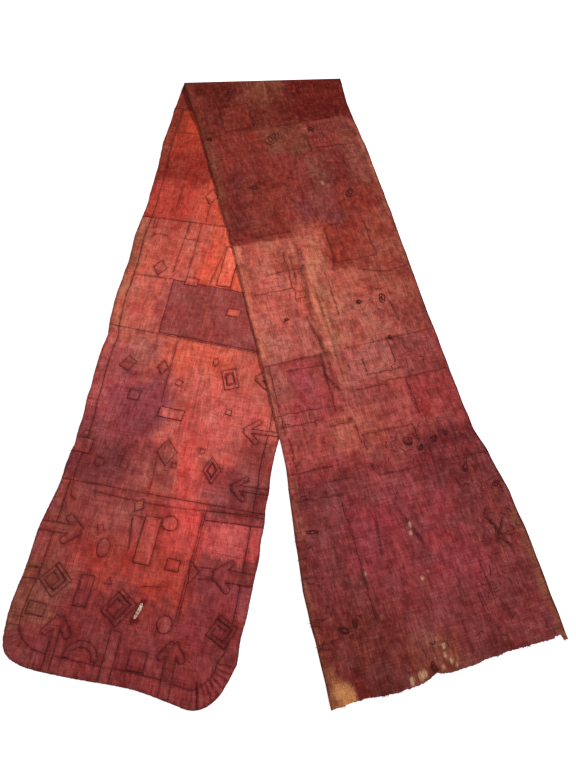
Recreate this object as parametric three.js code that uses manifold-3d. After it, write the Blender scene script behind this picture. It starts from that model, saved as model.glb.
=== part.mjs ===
// A long dyed raffia cloth, sewn from nine woven panels, folded once across
// its middle and laid flat. The front leg shows the face with its border and
// sewn-on shapes, and the back leg lies over it with the reverse up.
// Millimetres, +Z up, origin on the floor under the middle of the whole.
//
// Places on the cloth are given on the cloth itself: s runs along it from the
// middle of the fold (below zero on the front leg, above zero on the back
// leg), r is the same distance counted down one leg, and t runs across it.
import * as THREE from 'three';
import { mergeVertices } from 'three/addons/utils/BufferGeometryUtils.js';
import Module from 'manifold-3d';

const wasm = await Module();
wasm.setup();

// Thicknesses and widths
const CLOTH = 1.2;
const APPLIED = 0.8;
const GAP = 0.3;
const BORDER = 33;
const CLIMB = 26;

// The lie of the folded cloth: where the fold's middle is, how far each leg
// turns from straight down, and how loosely the cloth bends back
const FOLD_AT = new THREE.Vector2(-102.3, 1126.8);
const FRONT_TURN = -8.6;
const BACK_TURN = 13.2;
const FOLD_RADIUS = 5;
const FOLD_SETTLES = 90;

// How high the back leg lies over the front leg, over its edge and beyond it
const REST_ON_LEG = 3.6;
const REST_ON_EDGE = 4.4;
const HIDDEN_EDGE = 315;
const EDGE_RISE = 60;
const EDGE_CLEAR = 6;
const EDGE_DROP = 55;

// The two free edges along the cloth
const EDGES = [
  { s: -2330, a: -300, b: 300 },
  { s: -2100, a: -302, b: 302 },
  { s: -2030, a: -299, b: 307 },
  { s: -1890, a: -296, b: 313 },
  { s: -1800, a: -283, b: 310 },
  { s: -1650, a: -277, b: 307 },
  { s: -1600, a: -282, b: 309 },
  { s: -1550, a: -279, b: 313 },
  { s: -1400, a: -287, b: 314 },
  { s: -1270, a: -288, b: 315 },
  { s: -1210, a: -298, b: 315 },
  { s: -1100, a: -302, b: 315 },
  { s: -1000, a: -299, b: 315 },
  { s: -860, a: -307, b: 315 },
  { s: -750, a: -301, b: 315 },
  { s: -560, a: -307, b: 315 },
  { s: -420, a: -319, b: 316 },
  { s: -200, a: -320, b: 316 },
  { s: 0, a: -318, b: 317 },
  { s: 100, a: -309, b: 312 },
  { s: 200, a: -303, b: 304 },
  { s: 430, a: -296, b: 308 },
  { s: 650, a: -288, b: 307 },
  { s: 850, a: -284, b: 302 },
  { s: 1050, a: -282, b: 295 },
  { s: 1250, a: -282, b: 290 },
  { s: 1500, a: -280, b: 286 },
  { s: 1650, a: -285, b: 287 },
  { s: 1720, a: -292, b: 302 },
  { s: 1850, a: -306, b: 315 },
  { s: 1980, a: -318, b: 319 },
  { s: 2100, a: -315, b: 315 },
  { s: 2200, a: -314, b: 312 },
];

// The seams between panels, with their place along the cloth at each edge
const SEAM_HALF = 300;
const SEAMS = [
  { name: 'front end', a: -2330, b: -2330 },
  { name: 'front 3 to end', a: -1752, b: -1770 },
  { name: 'front 2 to 3', a: -1233, b: -1276 },
  { name: 'front 1 to 2', a: -777, b: -782 },
  { name: 'fold to front 1', a: -212, b: -214 },
  { name: 'fold to back 1', a: 277, b: 273 },
  { name: 'back 1 to 2', a: 797, b: 804 },
  { name: 'back 2 to 3', a: 1310, b: 1289 },
  { name: 'back 3 to end', a: 1703, b: 1724 },
  { name: 'back end', a: 2330, b: 2330 },
];

// Soft ridges that stand up from the floor, as straight runs on one leg
const RIDGES = [
  { leg: 'front', t0: 14, r0: 1380, t1: 20, r1: 1570, half: 34, high: 4 },
  { leg: 'front', t0: 82, r0: 1360, t1: 74, r1: 1560, half: 34, high: 3.5 },
  { leg: 'front', t0: -150, r0: 1830, t1: -120, r1: 1980, half: 40, high: 2.5 },
  { leg: 'back', t0: -52, r0: 890, t1: -72, r1: 1150, half: 26, high: 8 },
  { leg: 'back', t0: -72, r0: 1150, t1: -58, r1: 1420, half: 26, high: 7 },
  { leg: 'back', t0: -118, r0: 900, t1: -132, r1: 1280, half: 32, high: 3.5 },
  { leg: 'back', t0: -14, r0: 1030, t1: -12, r1: 1420, half: 30, high: 4 },
  { leg: 'back', t0: 165, r0: 560, t1: 150, r1: 780, half: 45, high: 2.5 },
  { leg: 'back', t0: -60, r0: 1820, t1: -48, r1: 1960, half: 26, high: 4 },
  { leg: 'back', t0: 44, r0: 1840, t1: 52, r1: 1960, half: 30, high: 3 },
  { leg: 'back', t0: -190, r0: 1850, t1: -186, r1: 2100, half: 30, high: 3.5 },
];

// Places where a free edge stands a little off what it lies on
const LIFTS = [
  { edge: 'a', s: 70, long: 300, high: 8 },
  { edge: 'a', s: -1330, long: 150, high: 2.5 },
  { edge: 'a', s: -1520, long: 120, high: 3 },
  { edge: 'a', s: -1690, long: 110, high: 3 },
  { edge: 'a', s: -1930, long: 120, high: 3.5 },
  { edge: 'a', s: -2075, long: 110, high: 4 },
  { edge: 'b', s: -1880, long: 150, high: 3 },
  { edge: 'b', s: -2080, long: 140, high: 3 },
  { edge: 'a', s: 1780, long: 160, high: 3 },
  { edge: 'a', s: 2030, long: 160, high: 3 },
  { edge: 'b', s: 470, long: 180, high: 3 },
  { edge: 'b', s: 1330, long: 200, high: 3 },
  { edge: 'b', s: 1850, long: 140, high: 4 },
  { edge: 'b', s: 2060, long: 150, high: 3 },
];
const LIFT_REACH = 75;

// The rounded end of the front leg and the torn end of the back leg, with the
// step at which the edges above them are followed
const ROUND_END = [
  { t: -300, r: 2140 }, { t: -294, r: 2180 }, { t: -279, r: 2209 },
  { t: -250, r: 2226 }, { t: -200, r: 2236 }, { t: -100, r: 2240 },
  { t: 50, r: 2241 }, { t: 150, r: 2255 }, { t: 205, r: 2264 },
  { t: 240, r: 2255 }, { t: 268, r: 2230 }, { t: 285, r: 2198 },
  { t: 296, r: 2150 },
];
const TORN_END = [
  { t: -316, r: 2257 }, { t: -225, r: 2253 }, { t: -150, r: 2259 },
  { t: -92, r: 2257 }, { t: -62, r: 2249 }, { t: -38, r: 2239 },
  { t: -14, r: 2247 }, { t: 60, r: 2243 }, { t: 150, r: 2235 },
  { t: 279, r: 2233 }, { t: 283, r: 2227 }, { t: 297, r: 2229 },
  { t: 301, r: 2240 }, { t: 318, r: 2242 },
];
const OUTLINE_STEP = 60;
const ABOVE_FRONT_END = 1700;
const ABOVE_BACK_END = 1640;

// The worn hole through the front end panel
const HOLE = [
  { t: 33, r: 2043 }, { t: 36, r: 2058 }, { t: 30, r: 2072 },
  { t: 26, r: 2086 }, { t: 17, r: 2087 }, { t: 21, r: 2073 },
  { t: 25, r: 2060 }, { t: 26, r: 2046 },
];

// The inner line of the border around the rounded end
const END_BORDER = [
  { t: -254, r: 1600 }, { t: -257, r: 1960 }, { t: -264, r: 2062 },
  { t: -268, r: 2122 }, { t: -257, r: 2158 }, { t: -226, r: 2186 },
  { t: -182, r: 2197 }, { t: -60, r: 2203 }, { t: 40, r: 2205 },
  { t: 120, r: 2211 }, { t: 198, r: 2221 }, { t: 220, r: 2212 },
  { t: 248, r: 2182 }, { t: 255, r: 2152 }, { t: 271, r: 2112 },
  { t: 276, r: 2000 }, { t: 277, r: 1600 },
];

// Where a shape on the end panel has climbed fully onto the border
const END_CLIMB = { foot: 2166, top: 2192, left: -250, right: 266 };

// Plain shapes sewn on the face. on is the front panel, with 4 for the end
// panel. A shape of level 2 lies over the large plum patch, and the rest lie
// on the panel. Turns are in degrees
const SHAPES = [
  { node: 'lozenge_1', on: 1, kind: 'diamond', t: -78, r: 650, wide: 44, long: 74 },
  { node: 'lozenge_2', on: 2, kind: 'diamond', t: -186, r: 988, wide: 47, long: 62 },
  { node: 'strip_1', on: 2, kind: 'rect', t: 46, r: 951, wide: 46, long: 164, turn: 2 },
  { node: 'tab_1', on: 2, kind: 'rect', t: -65, r: 1031, wide: 42, long: 30, turn: 3, level: 2 },
  { node: 'tab_2', on: 2, kind: 'rect', t: 97, r: 1132, wide: 42, long: 27, turn: 3, level: 2 },
  { node: 'tab_3', on: 3, kind: 'rect', t: -194, r: 1364, wide: 34, long: 42, turn: 32 },
  { node: 'lozenge_3', on: 3, kind: 'diamond', t: -83, r: 1362, wide: 33, long: 48 },
  { node: 'square_1', on: 3, kind: 'rect', t: -21, r: 1408, wide: 17, long: 17, turn: 25 },
  { node: 'oval_1', on: 3, kind: 'oval', t: 78, r: 1320, wide: 15, long: 27 },
  { node: 'tab_4', on: 3, kind: 'rect', t: -147, r: 1466, wide: 34, long: 32, turn: 4 },
  { node: 'square_4', on: 3, kind: 'rect', t: 150, r: 1483, wide: 15, long: 15, turn: 8 },
  { node: 'bar_1', on: 3, kind: 'rect', t: -20, r: 1512, wide: 76, long: 32, turn: 5 },
  { node: 'kite_1', on: 3, kind: 'diamond', t: -4, r: 1632, wide: 58, long: 80, turn: -6 },
  { node: 'tab_5', on: 3, kind: 'rect', t: -258, r: 1647, wide: 64, long: 44, turn: 2 },
  { node: 'pennant_1', on: 4, kind: 'diamond', t: -42, r: 1796, wide: 28, long: 38, turn: 25 },
  { node: 'patch_dark', on: 4, kind: 'rect', t: 238, r: 1795, wide: 184, long: 25, turn: -1 },
  { node: 'patch_light', on: 4, kind: 'rect', t: 231, r: 1855, wide: 88, long: 78, turn: 2 },
  { node: 'disc_1', on: 4, kind: 'oval', t: 55, r: 1833, wide: 44, long: 38 },
  { node: 'slab_1', on: 4, kind: 'rect', t: 5, r: 1886, wide: 45, long: 126, turn: 2 },
  { node: 'oval_2', on: 4, kind: 'oval', t: -108, r: 1923, wide: 33, long: 50 },
  { node: 'square_2', on: 4, kind: 'rect', t: 88, r: 1940, wide: 35, long: 29, turn: 4 },
  { node: 'strip_3', on: 4, kind: 'rect', t: -290, r: 2014, wide: 64, long: 28, turn: 0 },
  { node: 'slab_2', on: 4, kind: 'rect', t: -127, r: 2037, wide: 36, long: 78, turn: 1 },
  { node: 'disc_2', on: 4, kind: 'oval', t: 102, r: 2086, wide: 39, long: 41 },
  { node: 'tab_6', on: 4, kind: 'rect', t: -236, r: 2098, wide: 46, long: 30, turn: 3 },
  { node: 'strip_2', on: 4, kind: 'rect', t: -16, r: 2196, wide: 27, long: 150, turn: 1 },
  { node: 'square_3', on: 4, kind: 'rect', t: 54, r: 2179, wide: 42, long: 44, turn: 1 },
];

// A shape within a shape: a ring with a smaller piece inside it
const NESTED = [
  { node: 'nested_1', on: 3, kind: 'rect', t: 133, r: 1372, wide: 44, long: 66, turn: -21 },
  { node: 'nested_2', on: 3, kind: 'diamond', t: 137, r: 1667, wide: 52, long: 80, turn: -9 },
];
const RING_HOLE = 0.62;
const CORE_SIZE = 0.46;

// Square spirals, each one strip that turns inwards with a gap beside itself
const SPIRALS = [
  { node: 'spiral_1', on: 4, t: -209, r: 2022, wide: 62, long: 62, turn: 40 },
  { node: 'spiral_2', on: 4, t: -25, r: 2064, wide: 58, long: 72, turn: 35 },
  { node: 'spiral_3', on: 4, t: 251, r: 2081, wide: 58, long: 58, turn: 27 },
];
const SPIRAL_STRIP = 10;
const SPIRAL_GAP = 3;
const SPIRAL_RUNS = 6;

// Arrows: a shaft that ends in two arms, pointing across or up the leg
const ARROWS = [
  { node: 'arrow_1', on: 3, t: 213, r: 1356, points: 180, shaft: 120, wide: 12, arm: 50, armWide: 14 },
  { node: 'arrow_2', on: 3, t: 208, r: 1532, points: 180, shaft: 120, wide: 12, arm: 56, armWide: 15 },
  { node: 'arrow_3', on: 3, t: 204, r: 1707, points: 180, shaft: 120, wide: 16, arm: 54, armWide: 15 },
  { node: 'arrow_4', on: 4, t: -184, r: 1889, points: 0, shaft: 140, wide: 25, arm: 58, armWide: 20 },
  { node: 'arrow_5', on: 4, t: 202, r: 1947, points: 180, shaft: 130, wide: 31, arm: 62, armWide: 18 },
  { node: 'arrow_6', on: 4, t: -167, r: 2110, points: 90, shaft: 160, wide: 18, arm: 56, armWide: 20 },
  { node: 'arrow_7', on: 4, t: 137, r: 2126, points: 90, shaft: 170, wide: 26, arm: 52, armWide: 18 },
];
const ARM_SPREAD = 39;

// The fin beside the fifth arrow, the half ring and the large plum patch
const FIN = [{ t: 132, r: 1920 }, { t: 162, r: 1947 }, { t: 140, r: 1980 }];
const ARCH = { node: 'arch', on: 4, t: -89, r: 2197, outer: 44, inner: 29 };
const PLUM_PATCH = [
  { t: -128, r: 1031 }, { t: 205, r: 1055 }, { t: 205, r: 1264 }, { t: -127, r: 1240 },
];

const rad = THREE.MathUtils.degToRad;
const lerp = THREE.MathUtils.lerp;
const smooth = THREE.MathUtils.smoothstep;

const FOLD_TURN = (FRONT_TURN + BACK_TURN) / 2;
const SKEW = (BACK_TURN - FRONT_TURN) / 2;
const foldLine = new THREE.Vector2(Math.cos(rad(FOLD_TURN)), Math.sin(rad(FOLD_TURN)));
const downLegs = new THREE.Vector2(foldLine.y, -foldLine.x);
const acrossFront = new THREE.Vector2(Math.cos(rad(FRONT_TURN)), Math.sin(rad(FRONT_TURN)));
const bend = FOLD_RADIUS * Math.PI / 2;

// An edge's place at a point along the cloth, between the two nearest rows
function edgeAt(s, edge) {
  const found = EDGES.findIndex((row) => row.s >= s);
  const next = found < 0 ? EDGES.length - 1 : Math.max(1, found);
  const [last, row] = [EDGES[next - 1], EDGES[next]];
  const share = THREE.MathUtils.clamp((s - last.s) / (row.s - last.s), 0, 1);
  return lerp(last[edge], row[edge], share);
}

const edgeA = (s) => edgeAt(s, 'a');
const edgeB = (s) => edgeAt(s, 'b');
const seamAt = (seam, t) => lerp(seam.a, seam.b, (t + SEAM_HALF) / (2 * SEAM_HALF));

// How far the soft ridges raise the cloth at a place on one leg. A ridge rises
// and dies out around each end of its run
const RIDGE_RISES = [-0.25, 0.15];
function ridgeHeight(leg, r, t) {
  let height = 0;
  for (const ridge of RIDGES) {
    if (ridge.leg !== leg) continue;
    const run = new THREE.Vector2(ridge.t1 - ridge.t0, ridge.r1 - ridge.r0);
    const from = new THREE.Vector2(t - ridge.t0, r - ridge.r0);
    const share = from.dot(run) / run.lengthSq();
    const off = Math.abs(from.cross(run)) / run.length();
    const ends = smooth(share, ...RIDGE_RISES) * smooth(1 - share, ...RIDGE_RISES);
    height = Math.max(height, ridge.high * ends * (1 - smooth(off, 0, ridge.half)));
  }
  return height;
}

// How far a free edge stands up at a place on the cloth
function liftHeight(s, t) {
  let height = 0;
  for (const lift of LIFTS) {
    const inside = lift.edge === 'a' ? t - edgeA(s) : edgeB(s) - t;
    const along = 1 - smooth(Math.abs(s - lift.s), 0, lift.long / 2);
    height = Math.max(height, lift.high * along * (1 - smooth(inside, 0, LIFT_REACH)));
  }
  return height;
}

// How high the back leg rests above the floor at a point of the floor
function restHeight(x, y) {
  const across = (x - FOLD_AT.x) * acrossFront.x + (y - FOLD_AT.y) * acrossFront.y;
  const inside = HIDDEN_EDGE - across;
  const onEdge = lerp(REST_ON_EDGE, REST_ON_LEG, smooth(inside, 0, EDGE_RISE));
  return onEdge * smooth(inside, -EDGE_DROP, -EDGE_CLEAR);
}

// A place on the cloth in space. off is the distance from the middle of the
// cloth's thickness towards its face, which is up on the front leg
function place(s, t, off) {
  const along = s * Math.sin(rad(SKEW)) + t * Math.cos(rad(SKEW));
  const past = s * Math.cos(rad(SKEW)) - t * Math.sin(rad(SKEW));
  const angle = THREE.MathUtils.clamp(past / FOLD_RADIUS, -Math.PI / 2, Math.PI / 2);
  const straight = Math.max(0, Math.abs(past) - bend);
  const away = FOLD_RADIUS * (1 - Math.cos(angle)) + straight + off * Math.cos(angle);
  const x = FOLD_AT.x + along * foldLine.x + away * downLegs.x;
  const y = FOLD_AT.y + along * foldLine.y + away * downLegs.y;
  let z = CLOTH / 2 + FOLD_RADIUS * (1 + Math.sin(angle)) - off * Math.sin(angle);
  if (past < -bend) {
    z += ridgeHeight('front', -s, t) + liftHeight(s, t);
  }
  if (past > bend) {
    const settled = restHeight(x, y) - 2 * FOLD_RADIUS;
    z += settled * smooth(past - bend, 0, FOLD_SETTLES);
    z += ridgeHeight('back', s, t) + liftHeight(s, t);
  }
  return new THREE.Vector3(x, y, z);
}

// A closed sheet between two offsets over a grid of places on the cloth
function sheet(grid, low, high) {
  const rows = grid.length;
  const columns = grid[0].length;
  const points = [];
  for (const offset of [low, high]) {
    for (const row of grid) {
      for (const { s, t, climb } of row) points.push(place(s, t, offset + (climb ?? 0)));
    }
  }
  const at = (side, i, j) => side * rows * columns + i * columns + j;
  const index = [];
  const quad = (a, b, c, d) => index.push(a, b, c, a, c, d);
  for (let i = 0; i + 1 < rows; i += 1) {
    for (let j = 0; j + 1 < columns; j += 1) {
      quad(at(0, i, j), at(0, i, j + 1), at(0, i + 1, j + 1), at(0, i + 1, j));
      quad(at(1, i, j), at(1, i + 1, j), at(1, i + 1, j + 1), at(1, i, j + 1));
    }
    const last = columns - 1;
    quad(at(0, i, 0), at(0, i + 1, 0), at(1, i + 1, 0), at(1, i, 0));
    quad(at(0, i, last), at(1, i, last), at(1, i + 1, last), at(0, i + 1, last));
  }
  for (let j = 0; j + 1 < columns; j += 1) {
    const last = rows - 1;
    quad(at(0, 0, j), at(1, 0, j), at(1, 0, j + 1), at(0, 0, j + 1));
    quad(at(0, last, j), at(0, last, j + 1), at(1, last, j + 1), at(1, last, j));
  }
  const geometry = new THREE.BufferGeometry().setFromPoints(points);
  geometry.setIndex(index);
  return outward(geometry);
}

// Turns a closed geometry the right way out
function outward(geometry) {
  const { array } = geometry.getAttribute('position');
  const corner = (k) => new THREE.Vector3().fromArray(array, 3 * geometry.index.getX(k));
  let volume = 0;
  for (let k = 0; k < geometry.index.count; k += 3) {
    volume += corner(k).dot(corner(k + 1).cross(corner(k + 2)));
  }
  if (volume < 0) geometry.index.array.reverse();
  return geometry;
}

// The columns of a panel's grid, from one edge to the other
const MIDDLE_COLUMNS = 14;
function faceColumns(a, b) {
  const inner = BORDER + CLIMB;
  const middle = Array.from({ length: MIDDLE_COLUMNS + 1 },
    (_, j) => lerp(a + inner, b - inner, j / MIDDLE_COLUMNS));
  return [a, a + BORDER, ...middle, b - BORDER, b];
}

// The reverse has its columns close together where its long folds are
const FOLDS = { from: -152, to: 24, columns: 11, before: 4, after: 6 };
function reverseColumns(a, b) {
  const spread = (from, to, count) => Array.from({ length: count },
    (_, j) => lerp(from, to, j / count));
  return [...spread(a, FOLDS.from, FOLDS.before), ...spread(FOLDS.from, FOLDS.to, FOLDS.columns),
    ...spread(FOLDS.to, b, FOLDS.after), b];
}

// The ends of the cloth are cut from wider grids with fixed columns
const WIDE = 345;
function frontEndColumns() {
  const { left, right } = END_CLIMB;
  return [-WIDE, left, ...faceColumns(left - BORDER, right + BORDER).slice(2, -2), right, WIDE];
}
const backEndColumns = () => reverseColumns(-WIDE, WIDE);

// The grid of a panel between its seams, with a gap beside each seam. Lines
// between the seams are rows of the grid too
function panelGrid(lines, columns, rowLength) {
  const rows = [(t) => seamAt(lines[0], t) + GAP / 2];
  for (let k = 1; k < lines.length; k += 1) {
    const [from, to] = [lines[k - 1], lines[k]];
    const count = Math.round((to.a - from.a) / rowLength) || 1;
    for (let i = 1; i <= count; i += 1) {
      rows.push((t) => lerp(seamAt(from, t), seamAt(to, t), i / count));
    }
  }
  rows[rows.length - 1] = (t) => seamAt(lines.at(-1), t) - GAP / 2;
  return gridOf(rows, columns);
}

function gridOf(rows, columns) {
  return rows.map((rowAt) => columns(edgeA(rowAt(-SEAM_HALF)), edgeB(rowAt(SEAM_HALF)))
    .map((t) => ({ s: rowAt(t), t })));
}

// The fold panel's rows turn from the seams to the slant of the fold
const FOLD_ROWS = [
  { s: -170, slant: 0.25 }, { s: -130, slant: 0.5 }, { s: -95, slant: 0.75 },
  { s: -60, slant: 0.95 }, { s: -28, slant: 1 }, { s: -8, slant: 1 },
  { s: -5, slant: 1 }, { s: -2, slant: 1 }, { s: 2, slant: 1 }, { s: 5, slant: 1 },
  { s: 8, slant: 1 }, { s: 22, slant: 1 }, { s: 40, slant: 1 }, { s: 62, slant: 1 },
  { s: 90, slant: 0.95 }, { s: 122, slant: 0.75 }, { s: 160, slant: 0.5 },
  { s: 200, slant: 0.25 }, { s: 240, slant: 0.1 },
];
function foldGrid(first, last) {
  const lines = [
    (t) => seamAt(first, t) + GAP / 2,
    ...FOLD_ROWS.map((row) => (t) => row.s + row.slant * t * Math.tan(rad(SKEW))),
    (t) => seamAt(last, t) - GAP / 2,
  ];
  return gridOf(lines, faceColumns);
}

// Solids that can be joined and cut
function solid(geometry) {
  const plain = geometry.clone();
  plain.deleteAttribute('normal');
  plain.deleteAttribute('uv');
  const merged = mergeVertices(plain, 1e-4);
  return new wasm.Manifold(new wasm.Mesh({
    numProp: 3,
    vertProperties: new Float32Array(merged.getAttribute('position').array),
    triVerts: new Uint32Array(merged.index.array),
  }));
}

function geometryOf(body) {
  const mesh = body.getMesh();
  const geometry = new THREE.BufferGeometry();
  geometry.setAttribute('position', new THREE.BufferAttribute(mesh.vertProperties, 3));
  geometry.setIndex(new THREE.BufferAttribute(mesh.triVerts, 1));
  return geometry;
}

// A cutter that stands through the cloth on an outline drawn on one leg
const CUTTER = { low: -10, high: 40 };
function cutter(outline, leg = 'front') {
  const corners = outline.map(({ t, r }) => {
    const { x, y } = place(leg === 'front' ? -r : r, t, 0);
    return new THREE.Vector2(x, y);
  });
  const depth = CUTTER.high - CUTTER.low;
  const prism = new THREE.ExtrudeGeometry(new THREE.Shape(corners), { depth, bevelEnabled: false });
  return solid(prism.translate(0, 0, CUTTER.low));
}

// The outline of one end of the cloth: both edges down to the end's own curve
function endOutline(end, leg, from) {
  const sign = leg === 'front' ? -1 : 1;
  const rows = [];
  for (let r = from; r < end[0].r - OUTLINE_STEP / 2; r += OUTLINE_STEP) rows.push(r);
  const left = rows.map((r) => ({ r, t: edgeA(sign * r) }));
  const right = rows.map((r) => ({ r, t: edgeB(sign * r) })).reverse();
  return [...left, ...end, ...right];
}

// Outlines of the sewn-on shapes
function turned(points, { t, r, turn = 0 }) {
  const c = Math.cos(rad(turn));
  const s = Math.sin(rad(turn));
  return points.map(([across, down]) => ({ t: t + across * c - down * s, r: r + across * s + down * c }));
}

function rect(shape, share = 1) {
  const [w, l] = [shape.wide / 2 * share, shape.long / 2 * share];
  return turned([[-w, -l], [w, -l], [w, l], [-w, l]], shape);
}

function diamond(shape, share = 1) {
  const [w, l] = [shape.wide / 2 * share, shape.long / 2 * share];
  return turned([[0, -l], [w, 0], [0, l], [-w, 0]], shape);
}

const OVAL_SIDES = 14;
function oval(shape) {
  const points = Array.from({ length: OVAL_SIDES }, (_, k) => {
    const angle = 2 * Math.PI * k / OVAL_SIDES;
    return [shape.wide / 2 * Math.cos(angle), shape.long / 2 * Math.sin(angle)];
  });
  return turned(points, shape);
}

// A square spiral's strip: its runs turn right again and again, and each pair
// of runs is shorter than the last by the strip and its gap
function spiral(shape) {
  const step = SPIRAL_STRIP + SPIRAL_GAP;
  const half = SPIRAL_STRIP / 2;
  let [across, down] = [half - shape.wide / 2, half - shape.long / 2];
  let [goAcross, goDown] = [1, 0];
  const runs = [];
  for (let k = 0; k < SPIRAL_RUNS; k += 1) {
    const full = k % 2 ? shape.long : shape.wide;
    const length = full - SPIRAL_STRIP - step * Math.max(0, Math.floor((k - 1) / 2));
    const [toAcross, toDown] = [across + goAcross * length, down + goDown * length];
    const low = [Math.min(across, toAcross) - half, Math.min(down, toDown) - half];
    const high = [Math.max(across, toAcross) + half, Math.max(down, toDown) + half];
    runs.push(turned([low, [high[0], low[1]], high, [low[0], high[1]]], shape));
    [across, down] = [toAcross, toDown];
    [goAcross, goDown] = [-goDown, goAcross];
  }
  return runs;
}

// A straight bar that starts at a point and runs the given way
function bar(t, r, way, long, wide) {
  const start = { t, r, turn: way };
  return turned([[0, -wide / 2], [long, -wide / 2], [long, wide / 2], [0, wide / 2]], start);
}

const ARCH_STEPS = 10;
function arch({ t, r, outer, inner }) {
  const ring = (radius, k) => {
    const angle = Math.PI * (1 + k / ARCH_STEPS);
    return { t: t + radius * Math.cos(angle), r: r + radius * Math.sin(angle) };
  };
  const steps = Array.from({ length: ARCH_STEPS + 1 }, (_, k) => k);
  return [...steps.map((k) => ring(outer, k)), ...steps.reverse().map((k) => ring(inner, k))];
}

// Colours and finishes of the pieces
const LOOKS = {
  front: { color: 0xb5483a, roughness: 0.85 },
  reverse: { color: 0x8a3a30, roughness: 0.9 },
  border: { color: 0xa0453a, roughness: 0.85 },
  plum: { color: 0x6b3238, roughness: 0.85 },
  applied: { color: 0xa8433b, roughness: 0.85 },
};
const cloth = new THREE.Group();
function add(name, geometry, look) {
  const material = new THREE.MeshStandardMaterial({ ...LOOKS[look], metalness: 0 });
  const mesh = new THREE.Mesh(geometry, material);
  mesh.name = name;
  cloth.add(mesh);
}

// Nine panels. The two end panels are cut to their outlines
const ROW = 60;
const BACK_ROW = 50;
const face = CLOTH / 2;
const [frontEnd, seam34, seam23, seam12, seamFold1, seamFold2, seam56, seam67, seam78, backEnd] = SEAMS;
const frontGrids = {
  1: panelGrid([seam12, seamFold1], faceColumns, ROW),
  2: panelGrid([seam23, seam12], faceColumns, ROW),
  3: panelGrid([seam34, seam23], faceColumns, ROW),
};
for (const [number, grid] of Object.entries(frontGrids)) {
  add(`front_panel_${number}`, sheet(grid, -face, face), 'front');
}
add('fold_panel', sheet(foldGrid(seamFold1, seamFold2), -face, face), 'reverse');
const backSeams = [seamFold2, seam56, seam67, seam78];
backSeams.slice(0, 3).forEach((seam, k) => {
  const grid = panelGrid([seam, backSeams[k + 1]], reverseColumns, BACK_ROW);
  add(`back_panel_${k + 1}`, sheet(grid, -face, face), 'reverse');
});

const climbTop = { a: -END_CLIMB.top, b: -END_CLIMB.top };
const climbFoot = { a: -END_CLIMB.foot, b: -END_CLIMB.foot };
const endGrid = panelGrid([frontEnd, climbTop, climbFoot, seam34], frontEndColumns, ROW);
const endCut = cutter(endOutline(ROUND_END, 'front', ABOVE_FRONT_END));
const endPanel = solid(sheet(endGrid, -face, face)).intersect(endCut).subtract(cutter(HOLE));
add('front_panel_end', geometryOf(endPanel), 'front');
const tornGrid = panelGrid([seam78, backEnd], backEndColumns, BACK_ROW);
const tornCut = cutter(endOutline(TORN_END, 'back', ABOVE_BACK_END), 'back');
add('back_panel_end', geometryOf(solid(sheet(tornGrid, -face, face)).intersect(tornCut)), 'reverse');

// Border strips on the face of each front panel, and around the rounded end
const under = face + GAP;
for (const [number, grid] of Object.entries(frontGrids)) {
  const left = grid.map((row) => row.slice(0, 2));
  const right = grid.map((row) => row.slice(-2));
  add(`border_left_${number}`, sheet(left, under, under + APPLIED), 'border');
  add(`border_right_${number}`, sheet(right, under, under + APPLIED), 'border');
}
const endLayer = solid(sheet(endGrid, under, under + APPLIED));
const endBorder = endLayer.intersect(endCut).subtract(cutter(END_BORDER));
add('border_end', geometryOf(endBorder), 'border');

// Layers that the sewn-on shapes are cut from. They climb over the border
const overBorder = APPLIED + GAP;
const climbing = (grid) => grid.map((row) => row.map((point, j) => {
  const onBorder = j < 2 || j > row.length - 3;
  return { ...point, climb: onBorder ? overBorder : 0 };
}));
const endClimbing = endGrid.map((row) => row.map(({ s, t }) => {
  const side = t <= END_CLIMB.left || t >= END_CLIMB.right ? 1 : 0;
  const down = smooth(-s, END_CLIMB.foot, END_CLIMB.top);
  return { s, t, climb: overBorder * Math.max(side, down) };
}));
const layers = {
  1: solid(sheet(climbing(frontGrids[1]), under, under + APPLIED)),
  2: solid(sheet(climbing(frontGrids[2]), under, under + APPLIED)),
  3: solid(sheet(climbing(frontGrids[3]), under, under + APPLIED)),
  4: solid(sheet(endClimbing, under, under + APPLIED)).intersect(endCut),
};
const patchTop = under + overBorder;
const secondLayer = solid(sheet(frontGrids[2], patchTop, patchTop + APPLIED));

const patch = solid(sheet(frontGrids[2], under, under + APPLIED)).intersect(cutter(PLUM_PATCH));
add('plum_patch', geometryOf(patch), 'plum');
const outlines = { rect, diamond, oval };
for (const shape of SHAPES) {
  const layer = shape.level === 2 ? secondLayer : layers[shape.on];
  add(shape.node, geometryOf(layer.intersect(cutter(outlines[shape.kind](shape)))), 'applied');
}
for (const shape of NESTED) {
  const outline = outlines[shape.kind];
  const layer = layers[shape.on];
  const ring = cutter(outline(shape)).subtract(cutter(outline(shape, RING_HOLE)));
  add(`${shape.node}_ring`, geometryOf(layer.intersect(ring)), 'applied');
  add(`${shape.node}_core`, geometryOf(layer.intersect(cutter(outline(shape, CORE_SIZE)))), 'applied');
}
for (const shape of SPIRALS) {
  const strip = spiral(shape).map((run) => cutter(run)).reduce((whole, run) => whole.add(run));
  add(shape.node, geometryOf(layers[shape.on].intersect(strip)), 'applied');
}
for (const { node, on, t, r, points, shaft, wide, arm, armWide } of ARROWS) {
  const back = points === 90 ? 90 : points + 180;
  const arms = [-ARM_SPREAD, ARM_SPREAD].map((spread) => cutter(bar(t, r, back + spread, arm, armWide)));
  const whole = cutter(bar(t, r, back, shaft, wide)).add(arms[0]).add(arms[1]);
  add(node, geometryOf(layers[on].intersect(whole)), 'applied');
}
add('fin', geometryOf(layers[4].intersect(cutter(FIN))), 'applied');
add(ARCH.node, geometryOf(layers[ARCH.on].intersect(cutter(arch(ARCH)))), 'applied');

export default cloth;
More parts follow.
